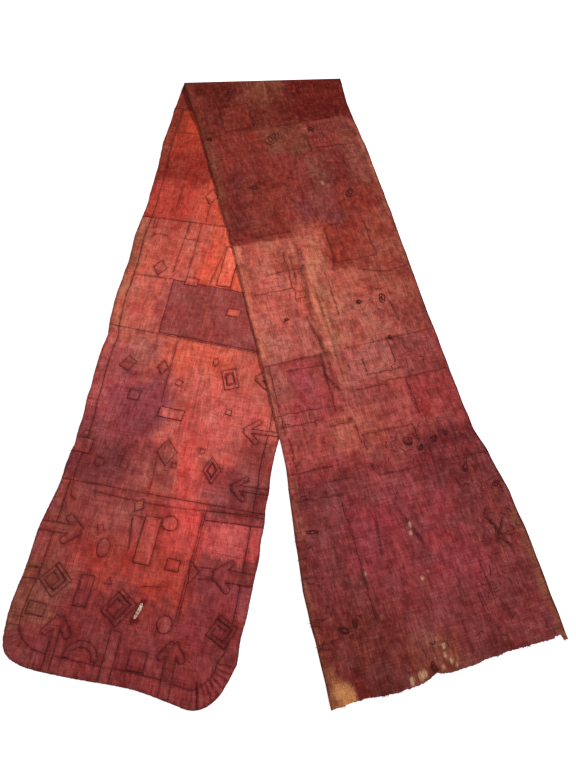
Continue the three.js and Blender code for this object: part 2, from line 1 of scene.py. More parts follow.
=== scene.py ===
# A long dyed raffia cloth of the kuba kind, sewn from nine woven panels, folded
# once on a slant and laid flat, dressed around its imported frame. Metres, +Z up.
import math

import bpy
import numpy as np
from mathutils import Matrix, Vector
from mathutils.geometry import delaunay_2d_cdt
from mathutils.kdtree import KDTree


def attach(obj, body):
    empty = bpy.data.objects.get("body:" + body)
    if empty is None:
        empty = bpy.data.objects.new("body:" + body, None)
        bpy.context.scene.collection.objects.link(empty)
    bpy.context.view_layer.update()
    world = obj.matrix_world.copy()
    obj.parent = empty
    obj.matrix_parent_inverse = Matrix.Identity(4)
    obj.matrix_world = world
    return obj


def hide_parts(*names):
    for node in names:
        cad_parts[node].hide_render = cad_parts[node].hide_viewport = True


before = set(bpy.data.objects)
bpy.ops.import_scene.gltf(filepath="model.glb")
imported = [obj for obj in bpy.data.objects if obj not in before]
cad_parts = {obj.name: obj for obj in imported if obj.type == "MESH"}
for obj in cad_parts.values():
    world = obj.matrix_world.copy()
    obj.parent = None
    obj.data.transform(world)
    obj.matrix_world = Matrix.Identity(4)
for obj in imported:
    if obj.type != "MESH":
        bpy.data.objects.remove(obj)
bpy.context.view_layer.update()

# Woven panels
# Nine lengths of plain-woven raffia leaf, each one loom's width and length, sewn
# end to end, dyed in red and plum after sewing, and folded once on a slant.
# Places are in millimetres on the cloth: s along it from the fold (below zero on
# the front leg), r the same distance down one leg, t across it.
MM = 0.001
CLOTH = 1.2
FOLD_AT = np.array([-102.3, 1126.8])
FRONT_TURN = -8.6
BACK_TURN = 13.2
FOLD_RADIUS = 5
FOLD_SETTLES = 90
REST_ON_LEG = 3.6
REST_ON_EDGE = 4.4
HIDDEN_EDGE = 315
EDGE_RISE = 60
EDGE_CLEAR = 6
EDGE_DROP = 55
SEAM_HALF = 300
SEAM_GAP = 0.05
# Where the front leg goes under the back leg, from its left edge, how much flatter
# its ridges are pressed there, and how far beside the fold the cloth gets flatter
UNDER_EDGE = (-14, 6)
PRESSED_UNDER = 0.8
CALM_NEAR_FOLD = 30

# Free edges: s, then t of the left and right edge
EDGES = np.array([
    (-2330, -300, 300), (-2100, -302, 302), (-2030, -299, 307), (-1890, -296, 313),
    (-1800, -283, 310), (-1650, -277, 307), (-1600, -282, 309), (-1550, -279, 313),
    (-1400, -287, 314), (-1270, -288, 315), (-1210, -298, 315), (-1100, -302, 315),
    (-1000, -299, 315), (-860, -307, 315), (-750, -301, 315), (-560, -307, 315),
    (-420, -319, 316), (-200, -320, 316), (0, -318, 317), (100, -309, 312),
    (200, -303, 304), (430, -296, 308), (650, -288, 307), (850, -284, 302),
    (1050, -282, 295), (1250, -282, 290), (1500, -280, 286), (1650, -285, 287),
    (1720, -292, 302), (1850, -306, 315), (1980, -318, 319), (2100, -315, 315),
    (2200, -314, 312),
], float)
# Waver of the free edges: how far, how much more it grows low on the front leg
# and between which r, and how long it is at the left and at the right edge
EDGE_WAVER = 3
LOWER_WAVER = 5
LOWER_FROM = (1150, 1500)
WAVER_LONG = (44, 48)
# Seams: s at the left and at the right edge
SEAMS = {
    "front 3 to end": (-1752, -1770), "front 2 to 3": (-1233, -1276),
    "front 1 to 2": (-777, -782), "fold to front 1": (-212, -214),
    "fold to back 1": (277, 273), "back 1 to 2": (797, 804),
    "back 2 to 3": (1310, 1289), "back 3 to end": (1703, 1724),
}
# Soft ridges: leg, start t and r, end t and r, half width, height
RIDGES = [
    ("front", 14, 1380, 20, 1570, 34, 4), ("front", 82, 1360, 74, 1560, 34, 3.5),
    ("front", -150, 1830, -120, 1980, 40, 2.5), ("back", -52, 890, -72, 1150, 26, 8),
    ("back", -72, 1150, -58, 1420, 26, 7), ("back", -118, 900, -132, 1280, 32, 3.5),
    ("back", -14, 1030, -12, 1420, 30, 4), ("back", 165, 560, 150, 780, 45, 2.5),
    ("back", -60, 1820, -48, 1960, 26, 4), ("back", 44, 1840, 52, 1960, 30, 3),
    ("back", -190, 1850, -186, 2100, 30, 3.5),
]
RIDGE_RISES = (-0.25, 0.15)
# Sharp small creases on the ridges: leg, start t and r, end t and r, half width, height
CREASES = [
    ("back", -92, 905, -97, 1010, 9, 1.6), ("back", -97, 1160, -82, 1245, 9, 1.8),
    ("back", -80, 1240, -74, 1300, 8, 1.6), ("back", -88, 1300, -90, 1385, 9, 1.8),
    ("back", -90, 1380, -66, 1432, 9, 1.6), ("back", -44, 1050, -40, 1430, 7, 1.4),
    ("back", -73, 1850, -84, 1945, 9, 1.5), ("back", 8, 1850, 34, 1930, 9, 1.4),
    ("back", 230, 1905, 262, 1990, 8, 1.5), ("back", 232, 1975, 268, 1925, 8, 1.2),
    ("back", -140, 1480, 40, 1500, 8, 0.8), ("front", 45, 1370, 46, 1570, 7, 0.9),
    ("front", -60, 1270, -59, 1470, 7, 0.8), ("front", -48, 1838, -36, 1912, 8, 1.0),
]
# Free edges that stand a little off what they lie on: edge, s, length, height
LIFTS = [
    ("a", 70, 300, 8), ("a", -1330, 150, 2.5), ("a", -1520, 120, 3), ("a", -1690, 110, 3),
    ("a", -1930, 120, 3.5), ("a", -2075, 110, 4), ("b", -1880, 150, 3), ("b", -2080, 140, 3),
    ("a", 1780, 160, 3), ("a", 2030, 160, 3), ("b", 470, 180, 3), ("b", 1330, 200, 3),
    ("b", 1850, 140, 4), ("b", 2060, 150, 3),
]
LIFT_REACH = 75
# Where the border is gathered around the front leg's two lower corners: t, r, side
CORNERS = [(-196, 2138, -1), (196, 2150, 1)]
GATHER_STEP = 15
GATHER_REACH = 85
GATHER_HIGH = 2.2
# Where the gathers rise and fade, in turn around their corner and in distance
GATHER_TURN = (-0.35, 0.05, 1.5, 1.95)
GATHER_RING = (48, 66, 125, 150)
# Puckers at the seams and at the free edges: height, reach, wave's length by 2 pi
SEAM_PUCKER = 0.55
SEAM_PUCKER_REACH = (2, 22)
SEAM_PUCKER_WAVE = 3.6
EDGE_PUCKER = 0.7
EDGE_PUCKER_REACH = (4, 34)
EDGE_PUCKER_WAVE = 8.5
# Crumpling of each leg, and the heights of its large and small creases
CRUMPLED = {"front": 1.0, "back": 1.35}
LARGE_CRUMPLE = 1.2
SMALL_CRUMPLE = 0.3

SKEW = math.radians((BACK_TURN - FRONT_TURN) / 2)
FOLD_TURN = math.radians((FRONT_TURN + BACK_TURN) / 2)
FOLD_LINE = np.array([math.cos(FOLD_TURN), math.sin(FOLD_TURN)])
DOWN_LEGS = np.array([FOLD_LINE[1], -FOLD_LINE[0]])
ACROSS_FRONT = np.array([math.cos(math.radians(FRONT_TURN)), math.sin(math.radians(FRONT_TURN))])
BEND = FOLD_RADIUS * math.pi / 2
LATTICE_SIZE = 256
chance = np.random.default_rng(7)
LATTICE = chance.random((LATTICE_SIZE, LATTICE_SIZE))


def smooth(x, low, high):
    """Rises from 0 at low to 1 at high, with soft ends."""
    share = np.clip((x - low) / (high - low), 0, 1)
    return share * share * (3 - 2 * share)


def band(x, rises, full, fades, gone):
    """Rises to 1 between the first two values and fades between the last two."""
    return smooth(x, rises, full) * (1 - smooth(x, fades, gone))


def wave(angle):
    return 0.5 + 0.5 * np.sin(angle)


def lumps(x, y, wide, long, seed=0):
    """Soft random heights from 0 to 1, with lumps of the given size."""
    x, y = x / wide + 31.7 * seed, y / long + 17.3 * seed
    i, j = np.floor(x).astype(int), np.floor(y).astype(int)
    fx, fy = smooth(x - i, 0, 1), smooth(y - j, 0, 1)

    def corner(di, dj):
        return LATTICE[(i + di) % LATTICE_SIZE, (j + dj) % LATTICE_SIZE]

    top = corner(0, 0) * (1 - fx) + corner(1, 0) * fx
    low = corner(0, 1) * (1 - fx) + corner(1, 1) * fx
    return top * (1 - fy) + low * fy


def edge_at(s):
    """The t of both free edges, with the small unevenness of a hand-sewn edge."""
    much = EDGE_WAVER + LOWER_WAVER * smooth(-s, *LOWER_FROM)
    sides = []
    for column, long, seed in zip((1, 2), WAVER_LONG, (3, 5)):
        waver = much * (lumps(s, 0 * s, long, 1, seed) - 0.5)
        sides.append(np.interp(s, EDGES[:, 0], EDGES[:, column]) + waver)
    return sides


def seam_at(seam, t):
    left, right = SEAMS[seam]
    return left + (right - left) * (t + SEAM_HALF) / (2 * SEAM_HALF)


def run_height(rows, leg, r, t, rises=RIDGE_RISES):
    """Height of the rows' straight ridges at places on one leg."""
    height = np.zeros_like(t)
    for on, t0, r0, t1, r1, half, high in rows:
        if on != leg:
            continue
        run = np.array([t1 - t0, r1 - r0], float)
        share = ((t - t0) * run[0] + (r - r0) * run[1]) / (run @ run)
        off = np.abs((t - t0) * run[1] - (r - r0) * run[0]) / math.sqrt(run @ run)
        ends = smooth(share, *rises) * smooth(1 - share, *rises)
        height = np.maximum(height, high * ends * (1 - smooth(off, 0, half)))
    return height


def lift_height(s, t):
    height = np.zeros_like(t)
    a, b = edge_at(s)
    for edge, at, long, high in LIFTS:
        inside = t - a if edge == "a" else b - t
        along = 1 - smooth(np.abs(s - at), 0, long / 2)
        height = np.maximum(height, high * along * (1 - smooth(inside, 0, LIFT_REACH)))
    return height


def rest_height(flat):
    """How high the back leg rests above the floor."""
    inside = HIDDEN_EDGE - (flat - FOLD_AT) @ ACROSS_FRONT
    on_edge = REST_ON_EDGE + (REST_ON_LEG - REST_ON_EDGE) * smooth(inside, 0, EDGE_RISE)
    return on_edge * smooth(inside, -EDGE_DROP, -EDGE_CLEAR)


def pucker_height(s, t):
    """Small gathers beside each seam and along both edges, pulled in by the thread."""
    height = np.zeros_like(t)
    for seam in SEAMS:
        near = 1 - smooth(np.abs(s - seam_at(seam, t)), *SEAM_PUCKER_REACH)
        height += SEAM_PUCKER * near * wave(t / SEAM_PUCKER_WAVE + 9 * lumps(t, s, 60, 60, seed=2))
    a, b = edge_at(s)
    near = 1 - smooth(np.minimum(t - a, b - t), *EDGE_PUCKER_REACH)
    height += EDGE_PUCKER * near * wave(s / EDGE_PUCKER_WAVE + 11 * lumps(s, t, 110, 200, seed=4))
    return height


def gather_height(s, t):
    """Pleats that fan out around the two lower corners of the front leg."""
    height = np.zeros_like(t)
    for corner_t, corner_r, side in CORNERS:
        across, down = (t - corner_t) * side, -s - corner_r
        far = np.hypot(across, down)
        turn = np.arctan2(down, across)
        inside = band(turn, *GATHER_TURN) * band(far, *GATHER_RING)
        pleats = turn * GATHER_REACH * 2 * math.pi / GATHER_STEP
        uneven_by = 2 * lumps(far, turn * 50, 40, 30, seed=6)
        height = np.maximum(height, GATHER_HIGH * inside * wave(pleats + uneven_by))
    return height


def crumple_height(s, t, leg):
    """The fine creasing of raffia that has been folded away and laid out again."""
    broad = lumps(t, s, 70, 24, seed=8) * lumps(t, s, 160, 120, seed=9)
    tall = lumps(t, s, 20, 75, seed=10) * lumps(t, s, 140, 150, seed=11)
    small = lumps(t, s, 12, 11, seed=12)
    return CRUMPLED[leg] * (LARGE_CRUMPLE * (broad + tall) + SMALL_CRUMPLE * small)


def under_back_leg(flat):
    """1 where the front leg lies under the back leg, and 0 in the open."""
    away = flat - FOLD_AT
    along, past = away @ FOLD_LINE, away @ DOWN_LEGS - FOLD_RADIUS + BEND
    s = past * math.cos(SKEW) + along * math.sin(SKEW)
    t = along * math.cos(SKEW) - past * math.sin(SKEW)
    return smooth(t - edge_at(s)[0], *UNDER_EDGE)


def place(s, t, off):
    """Points in metres of places on the cloth. off is the height towards the face."""
    s, t, off = (np.array(v, float) for v in np.broadcast_arrays(s, t, off))
    along = s * math.sin(SKEW) + t * math.cos(SKEW)
    past = s * math.cos(SKEW) - t * math.sin(SKEW)
    angle = np.clip(past / FOLD_RADIUS, -math.pi / 2, math.pi / 2)
    straight = np.maximum(0, np.abs(past) - BEND)
    away = FOLD_RADIUS * (1 - np.cos(angle)) + straight + off * np.cos(angle)
    flat = FOLD_AT + along[:, None] * FOLD_LINE + away[:, None] * DOWN_LEGS
    z = CLOTH / 2 + FOLD_RADIUS * (1 + np.sin(angle)) - off * np.sin(angle)
    flatten = smooth(np.abs(past), BEND, BEND + CALM_NEAR_FOLD)
    settled = (rest_height(flat) - 2 * FOLD_RADIUS) * smooth(past - BEND, 0, FOLD_SETTLES)
    front, back = (run_height(RIDGES, leg, r, t) + run_height(CREASES, leg, r, t)
                   + pucker_height(s, t) + crumple_height(s, t, leg)
                   for leg, r in (("front", -s), ("back", s)))
    front += gather_height(s, t)
    z += lift_height(s, t) * (np.abs(past) > BEND)
    z += np.where(past < 0, front * (1 - PRESSED_UNDER * under_back_leg(flat)), back) * flatten
    z += np.where(past > BEND, settled, 0)
    return np.column_stack([flat, z]) * MM


# The dyes, as they look in daylight on the cloth
DYES = {
    "bark": "#591C14", "umber": "#68261E", "port": "#5C1510", "cocoa": "#7A2D23",
    "olive": "#74392A", "brick": "#7E3029", "wine": "#6C2B28", "russet": "#8E3B30",
    "clay": "#B95B4E", "terracotta": "#AB5546", "rose": "#C25B4D", "tan": "#B4604A",
    "biscuit": "#CB7059", "tan brown": "#A5604A", "umber red": "#8A3429", "brown": "#8F4336",
    "dusty red": "#9C4540", "mauve": "#A3574E", "dark rose": "#883D3A", "crimson": "#8C3534",
    "plum": "#6A272A", "grape": "#7A3636", "maroon": "#733030", "red plum": "#86363A",
    "soot": "#5E2A26", "gold": "#AC6E44", "ash": "#7A4238", "deep red": "#A03627",
    "flame": "#B8442C", "oxblood": "#8C2E23", "tile": "#AD3E32", "vermilion": "#D15842",
    "coral": "#C65B51", "scarlet": "#C44943", "mulberry": "#93423F", "salmon": "#E86851",
    "rosewood": "#9A4648", "plum rose": "#8A3D3B", "umber olive": "#87483B",
    "wine red": "#7E3030", "pink": "#BC4E4D", "sienna": "#7C4631", "straw": "#C79E78",
    "cherry": "#8A3239", "heather": "#9E4A50", "violet": "#76303D", "raspberry": "#9C3C47",
}
# Where each dye lies, and where painted shade and painted highlight lie among the dyes: its name, t from
# and to, r from and to, blur, strength
DYED = {
    "front": [
        ("brick", -340, 340, -60, 2400, 10, 1), ("cocoa", -340, 340, -60, 213, 10, 1),
        ("flame", -340, 340, 220, 370, 40, 0.85), ("deep red", -340, 340, 340, 500, 60, 0.9),
        ("oxblood", -340, 340, 450, 610, 90, 1), ("tile", -340, 340, 590, 780, 60, 1),
        ("vermilion", -150, 340, 600, 778, 90, 0.6), ("clay", -340, -130, 778, 1250, 8, 1),
        ("rose", -170, -60, 778, 1250, 50, 1), ("vermilion", -62, 340, 778, 1250, 50, 1),
        ("russet", -340, -110, 776, 830, 40, 0.35), ("vermilion", -300, -120, 860, 1010, 60, 0.3),
        ("tile", -330, -140, 778, 880, 40, 0.4), ("tan", -340, -262, 790, 1250, 20, 0.8),
        ("sienna", -340, -270, 860, 1020, 40, 0.6), ("rosewood", -165, -128, 1040, 1240, 20, 0.8),
        # Painted shade: the cocoa at the left edge near the fold, t -340 to -262, is the fold's shadow
        ("olive", -340, -286, 90, 620, 12, 0.5), ("cocoa", -340, -262, 60, 330, 40, 0.75),
        ("rose", -255, -140, 930, 1250, 50, 0.6), ("rose", -340, 340, 1250, 1780, 8, 1),
        ("mauve", -270, -90, 1240, 1400, 60, 0.7), ("rosewood", -250, -50, 1400, 1640, 90, 0.9),
        ("heather", -310, -180, 1300, 1470, 60, 0.6), ("heather", -320, -220, 1470, 1600, 60, 0.4),
        ("rosewood", -90, -10, 1360, 1560, 60, 0.5), ("plum rose", -230, -70, 1500, 1640, 70, 0.6),
        ("vermilion", -60, 120, 1255, 1380, 60, 0.6), ("plum rose", -150, -80, 1270, 1350, 50, 0.5),
        ("plum rose", -110, -30, 1540, 1660, 50, 0.5), ("coral", -20, 130, 1350, 1620, 80, 0.8),
        ("rosewood", -300, -190, 1480, 1660, 70, 0.7), ("pink", 130, 250, 1420, 1640, 80, 0.5),
        ("scarlet", 30, 160, 1540, 1790, 70, 0.9), ("coral", 95, 175, 1500, 1650, 50, 0.9),
        ("coral", 90, 165, 1620, 1790, 50, 0.6), ("violet", -220, -70, 1430, 1600, 100, 0.5),
        ("violet", 140, 230, 1640, 1760, 60, 0.6), ("violet", -320, -240, 1540, 1640, 60, 0.5),
        ("grape", -320, -90, 1610, 1790, 80, 1), ("plum rose", -90, 20, 1620, 1770, 60, 0.8),
        ("mauve", -62, -18, 1672, 1768, 16, 0.6), ("plum rose", 190, 340, 1560, 1790, 70, 0.9),
        ("grape", 200, 340, 1690, 1790, 50, 0.9), ("dusty red", -340, -270, 1240, 1620, 20, 0.7),
        ("plum rose", -340, 340, 1762, 2400, 8, 1), ("tile", -40, 60, 1765, 1990, 60, 0.4),
        ("scarlet", 40, 160, 1752, 1920, 40, 1), ("pink", 155, 305, 1794, 1900, 20, 0.95),
        ("dusty red", -170, -60, 1762, 1880, 60, 0.5), ("mauve", -112, -56, 1772, 1850, 40, 0.4),
        ("mauve", -165, -110, 1815, 1880, 50, 0.35), ("tile", -150, 150, 1900, 2040, 60, 0.5),
        ("tile", 20, 130, 1940, 2120, 60, 0.7), ("brown", -270, -200, 1780, 2010, 50, 0.5),
        ("cherry", 150, 300, 1950, 2140, 70, 0.55), ("tile", -190, -60, 1880, 2000, 60, 0.45),
        ("umber olive", -340, -170, 1990, 2150, 80, 0.9), ("grape", -340, -120, 2140, 2260, 50, 0.7),
        ("wine red", -180, 150, 2050, 2260, 70, 0.8), ("wine red", 170, 320, 2060, 2280, 80, 0.8),
        # Painted shadow: the three port patches round the hole stand for the shade in its rim
        ("port", 27, 44, 2034, 2048, 8, 0.9), ("port", 10, 34, 2082, 2098, 10, 0.9),
        ("port", 14, 26, 2046, 2084, 8, 0.6),
    ],
    "back": [
        ("umber", -340, 340, -60, 280, 10, 1), ("olive", -110, 80, -30, 130, 70, 0.9),
        ("bark", -280, -120, -40, 110, 70, 0.8), ("cocoa", -205, -95, 122, 264, 10, 0.7),
        # Painted shade: the port at t 70 to 340, r 40 to 284, is the shade at the right beside the fold
        ("port", 70, 340, 40, 284, 60, 0.9), ("olive", -340, -285, 20, 280, 30, 0.3),
        ("brick", -340, 340, 278, 840, 8, 1), ("cocoa", -280, -70, 280, 430, 60, 0.7),
        ("olive", -70, 100, 280, 430, 50, 0.9), ("olive", 215, 340, 280, 470, 60, 0.9),
        ("brick", 98, 212, 280, 420, 12, 0.6), ("wine", 120, 330, 278, 380, 50, 0.6),
        ("tan", 88, 112, 285, 352, 14, 0.5), ("wine", 140, 275, 430, 620, 50, 0.8),
        ("wine", -10, 90, 430, 650, 60, 0.3), ("ash", 70, 140, 470, 690, 50, 0.8),
        ("wine", -252, -200, 480, 780, 30, 0.75), ("russet", -190, -10, 590, 800, 70, 0.8),
        ("grape", -10, 140, 650, 800, 50, 0.85), ("cocoa", 150, 290, 630, 800, 60, 0.6),
        ("port", 120, 300, 420, 620, 70, 0.25), ("bark", -230, -60, 480, 790, 90, 0.3),
        ("olive", -340, -262, 300, 690, 30, 0.8), ("umber olive", 225, 310, 400, 640, 40, 0.6),
        ("olive", 50, 100, 620, 760, 30, 0.4), ("tan", -340, -276, 560, 800, 20, 0.25),
        ("olive", 275, 340, 560, 800, 20, 0.8), ("tan", 288, 340, 300, 1300, 14, 0.4),
        ("terracotta", -340, 340, 823, 1300, 20, 1), ("clay", -290, -110, 960, 1310, 70, 0.9),
        ("terracotta", -80, 60, 797, 960, 50, 0.8), ("umber red", 26, 215, 797, 1000, 50, 1),
        # Painted highlight: the tan at t -72 to -10 lies along the tops of the back leg's long ridges
        ("brown", 190, 340, 797, 1320, 60, 1), ("tan", -72, -10, 950, 1300, 30, 0.5),
        ("terracotta", 5, 130, 1000, 1130, 40, 0.7), ("brown", 130, 340, 960, 1150, 60, 0.8),
        ("dark rose", 120, 340, 1140, 1320, 70, 0.5), ("mauve", 0, 130, 1130, 1320, 60, 0.5),
        # Painted highlight: the tan brown at t -60 to 5 and at t -62 to -15 lies on the ridge tops, and the
        # rose at t -90 to -64 is painted light on the lit side of the crease there
        ("mauve", -270, -70, 1150, 1310, 60, 0.6), ("tan brown", -60, 5, 840, 1420, 40, 0.55),
        ("brown", 60, 140, 990, 1060, 60, 0.5), ("rose", -90, -64, 1300, 1450, 20, 0.35),
        ("biscuit", -340, -266, 820, 1310, 26, 0.7), ("dusty red", -340, 340, 1300, 1710, 30, 1),
        ("raspberry", -245, -115, 1340, 1500, 80, 0.5), ("tan brown", -62, -15, 1300, 1430, 30, 0.5),
        ("mauve", -300, -225, 1310, 1500, 40, 0.5), ("mauve", -20, 135, 1300, 1440, 40, 0.9),
        ("dark rose", 140, 290, 1300, 1440, 20, 0.9), ("crimson", 145, 290, 1440, 1580, 14, 0.9),
        ("terracotta", -130, 40, 1500, 1612, 50, 0.7), ("brown", 40, 120, 1420, 1500, 40, 0.4),
        ("dark rose", -30, 125, 1600, 1722, 50, 0.8), ("plum", 125, 340, 1600, 1770, 70, 0.95),
        ("plum", 150, 340, 1700, 1830, 80, 0.7), ("dark rose", -30, 130, 1450, 1590, 60, 0.3),
        ("grape", -340, 340, 1685, 2400, 50, 1), ("red plum", -290, -60, 1640, 1720, 50, 0.5),
        ("plum", 90, 320, 1670, 1790, 60, 0.8), ("wine red", -340, 340, 1672, 1716, 30, 0.8),
        ("soot", 200, 320, 1700, 1780, 50, 0.5), ("plum", 150, 300, 1645, 1700, 40, 0.5),
        ("red plum", -130, 190, 1730, 2080, 110, 0.6), ("cherry", -165, -40, 1790, 1970, 70, 0.6),
        ("cherry", 30, 110, 1790, 1900, 60, 0.35), ("brown", 245, 320, 1840, 2010, 50, 0.5),
        ("cherry", 30, 170, 1930, 2090, 70, 0.5), ("dusty red", -30, 90, 1700, 1760, 50, 0.4),
        ("maroon", -340, -235, 1720, 2120, 60, 0.7), ("maroon", 190, 340, 1720, 2200, 60, 0.7),
        ("soot", -235, -130, 2040, 2270, 60, 0.7), ("maroon", 50, 200, 2060, 2270, 60, 0.7),
        ("soot", -340, 340, 2220, 2400, 40, 0.6), ("umber", -320, -100, 2030, 2200, 80, 0.55),
        ("sienna", -340, -300, 1880, 2200, 12, 0.6), ("sienna", 294, 340, 1900, 2240, 12, 0.6),
        ("tan brown", -340, -274, 1320, 1860, 24, 0.4), ("sienna", -110, 30, 2160, 2260, 60, 0.45),
        ("port", -262, -214, 2192, 2280, 22, 0.7), ("sienna", -340, -284, 2140, 2300, 36, 0.9),
        ("sienna", -300, -246, 2216, 2300, 26, 0.95), ("gold", -302, -268, 2196, 2290, 22, 0.85),
        ("gold", -276, -244, 2226, 2290, 18, 0.9),
    ],
}
# Small pale and dark spots on the reverse: dye, t, r, radius
SPOTS = [
    ("straw", 97, 606, 13), ("straw", -162, 1994, 7), ("straw", -143, 1972, 7), ("straw", -1, 2017, 9),
    ("straw", 21, 2004, 9), ("straw", -134, 2083, 10), ("straw", -128, 2060, 7), ("straw", 7, 1898, 5),
    ("straw", 12, 1876, 4), ("straw", -79, 2238, 9), ("straw", -68, 2232, 7), ("straw", -104, 2244, 6),
    ("straw", -18, 2230, 7), ("straw", -6, 2206, 5), ("straw", 6, 2222, 6), ("straw", -2, 2184, 4),
    ("straw", -30, 2204, 4), ("straw", 16, 2234, 5), ("gold", -14, 2168, 6), ("umber", -146, 31, 12),
    ("umber", 125, 331, 12), ("umber", -168, 1155, 9), ("port", 82, 1138, 9), ("umber", 140, 1294, 9),
    ("port", 163, 1650, 14), ("port", 186, 1668, 12), ("port", 120, 1640, 10),
    ("umber", -230, 2090, 16), ("straw", 120, 2244, 6), ("port", 40, 1620, 9), ("port", 232, 1700, 12),
    ("port", 250, 1760, 14), ("port", 210, 1735, 9), ("port", 262, 1905, 12), ("port", 240, 1950, 12),
    ("port", -300, 1870, 12), ("port", -296, 1930, 12), ("port", -302, 2060, 14),
    ("port", -190, 1742, 12), ("port", -60, 1540, 10), ("port", 96, 1500, 9), ("port", 190, 840, 9),
    ("port", 150, 950, 9), ("port", -100, 1255, 9), ("port", 200, 1245, 9), ("port", 70, 1830, 10),
    ("port", 100, 2020, 9), ("port", 130, 2090, 10), ("port", 196, 2010, 10),
]
# How far the edge of a dye strays, in shares of its blur, and how much further if
# its blur is wide enough
STRAY = 0.9
STRAY_MORE = 14
WIDE_BLUR = 14
# A spot's strength, how narrow it is across and along, and how uneven
SPOT_STRONG = 0.65
SPOT_NARROW = (1.5, 0.8)
SPOT_UNEVEN = 12
# How much darker the shaded side of a crease is, how far off its top, and at what height in full
CREASE_SHADE = 0.42
CREASE_SHADE_OFF = 4
CREASE_SHADE_FULL = 1.4


def linear(hex_colour):
    """An sRGB hex colour as linear red, green and blue."""
    parts = [int(hex_colour[k:k + 2], 16) / 255 for k in (1, 3, 5)]
    return np.array([c / 12.92 if c <= 0.04045 else ((c + 0.055) / 1.055) ** 2.4 for c in parts])


def dye_over(colour, dye, share):
    """Lays a dye over linear colours by the given share."""
    colour += (linear(DYES[dye]) - colour) * share


def stray_at(t, r, seed):
    """How far the dyes' edges wander at places on a leg, in wide and narrow lumps."""
    return 0.7 * lumps(t, r, 55, 55, seed) + 0.5 * lumps(t, r, 22, 18, seed + 3) - 0.6


def dye_and_painted_light_at(s, t):
    """The cloth's linear colour at places on it: its dyes, with the painted shade and highlight among them
    and painted shade beside the creases.
    """
    colour = np.zeros((len(s), 3))
    past = s * math.cos(SKEW) - t * math.sin(SKEW)
    for leg, rows in DYED.items():
        on_leg = past < 0 if leg == "front" else past >= 0
        r, across = np.abs(s)[on_leg], t[on_leg]
        stray = [stray_at(across, r, seed) for seed in (21, 22)]
        dyed = np.zeros((len(r), 3))
        for dye, t0, t1, r0, r1, blur, strength in rows:
            much = STRAY * blur + (STRAY_MORE if blur >= WIDE_BLUR else 0)
            half = blur / 2
            mask = band(across + stray[0] * much, t0 - half, t0 + half, t1 - half, t1 + half)
            mask *= band(r + stray[1] * much, r0 - half, r0 + half, r1 - half, r1 + half)
            dye_over(dyed, dye, (mask * strength)[:, None])
        # Painted shade: the cloth is darkened on the shaded side of each sharp crease
        creased = smooth(run_height(CREASES, leg, r, across + CREASE_SHADE_OFF), 0, CREASE_SHADE_FULL)
        dyed *= 1 - CREASE_SHADE * creased[:, None]
        for dye, at_t, at_r, radius in SPOTS if leg == "back" else ():
            off = SPOT_NARROW[0] * (across - at_t), SPOT_NARROW[1] * (r - at_r)
            far = np.hypot(*off) + SPOT_UNEVEN * stray[0]
            dye_over(dyed, dye, SPOT_STRONG * (1 - smooth(far, 0, radius))[:, None])
        colour[on_leg] = dyed
    return colour


def add_node(tree, kind, links=None, **settings):
    """Adds a node, sets its settings and inputs, and returns it."""
    node = tree.nodes.new(kind)
    for key, value in settings.items():
        setattr(node, key, value)
    for socket, value in (links or {}).items():
        if isinstance(value, bpy.types.NodeSocket):
            tree.links.new(value, node.inputs[socket])
        else:
            node.inputs[socket].default_value = value
    return node


# Raffia plain weave, vat dyed: flat matt leaf strips a little over a millimetre
# wide, uneven in width and in how much dye they took, so both directions show
# as fine streaks, with pale worn high spots and dark specks. Its creases and
# wrinkles are also painted, lighter on their bumped tops and darker in their
# hollows, as painted light and shade. The threads are drawn 2.2 mm apart,
# because the real 1.2 mm is too fine to show.
THREAD_PITCH = 2.2 * MM
STREAK_LONG = 70 * MM
STREAK_WIDE = 5.5 * MM
FINE_LONG = 30 * MM
FINE_WIDE = 2.6 * MM
CREASE_WIDE = 15 * MM
CREASE_LONG = 21 * MM
CRUSH_WIDE = 24 * MM
CRUSH_LONG = 30 * MM
WRINKLE_WIDE = 27.2 * MM
WRINKLE_LONG = 34 * MM
FOLD_CREASE_LINE_WIDE = 15 * MM
FOLD_CREASE_LINE_LONG = 150 * MM
CLOUD_WIDE = 75 * MM
CLOUD_LONG = 90 * MM
GRAIN = 5 * MM
SPECK_WIDE = 8 * MM
SPECK_LONG = 10 * MM
WORN_TONE = "#C9805F"
SPECK_TONE = "#42160F"


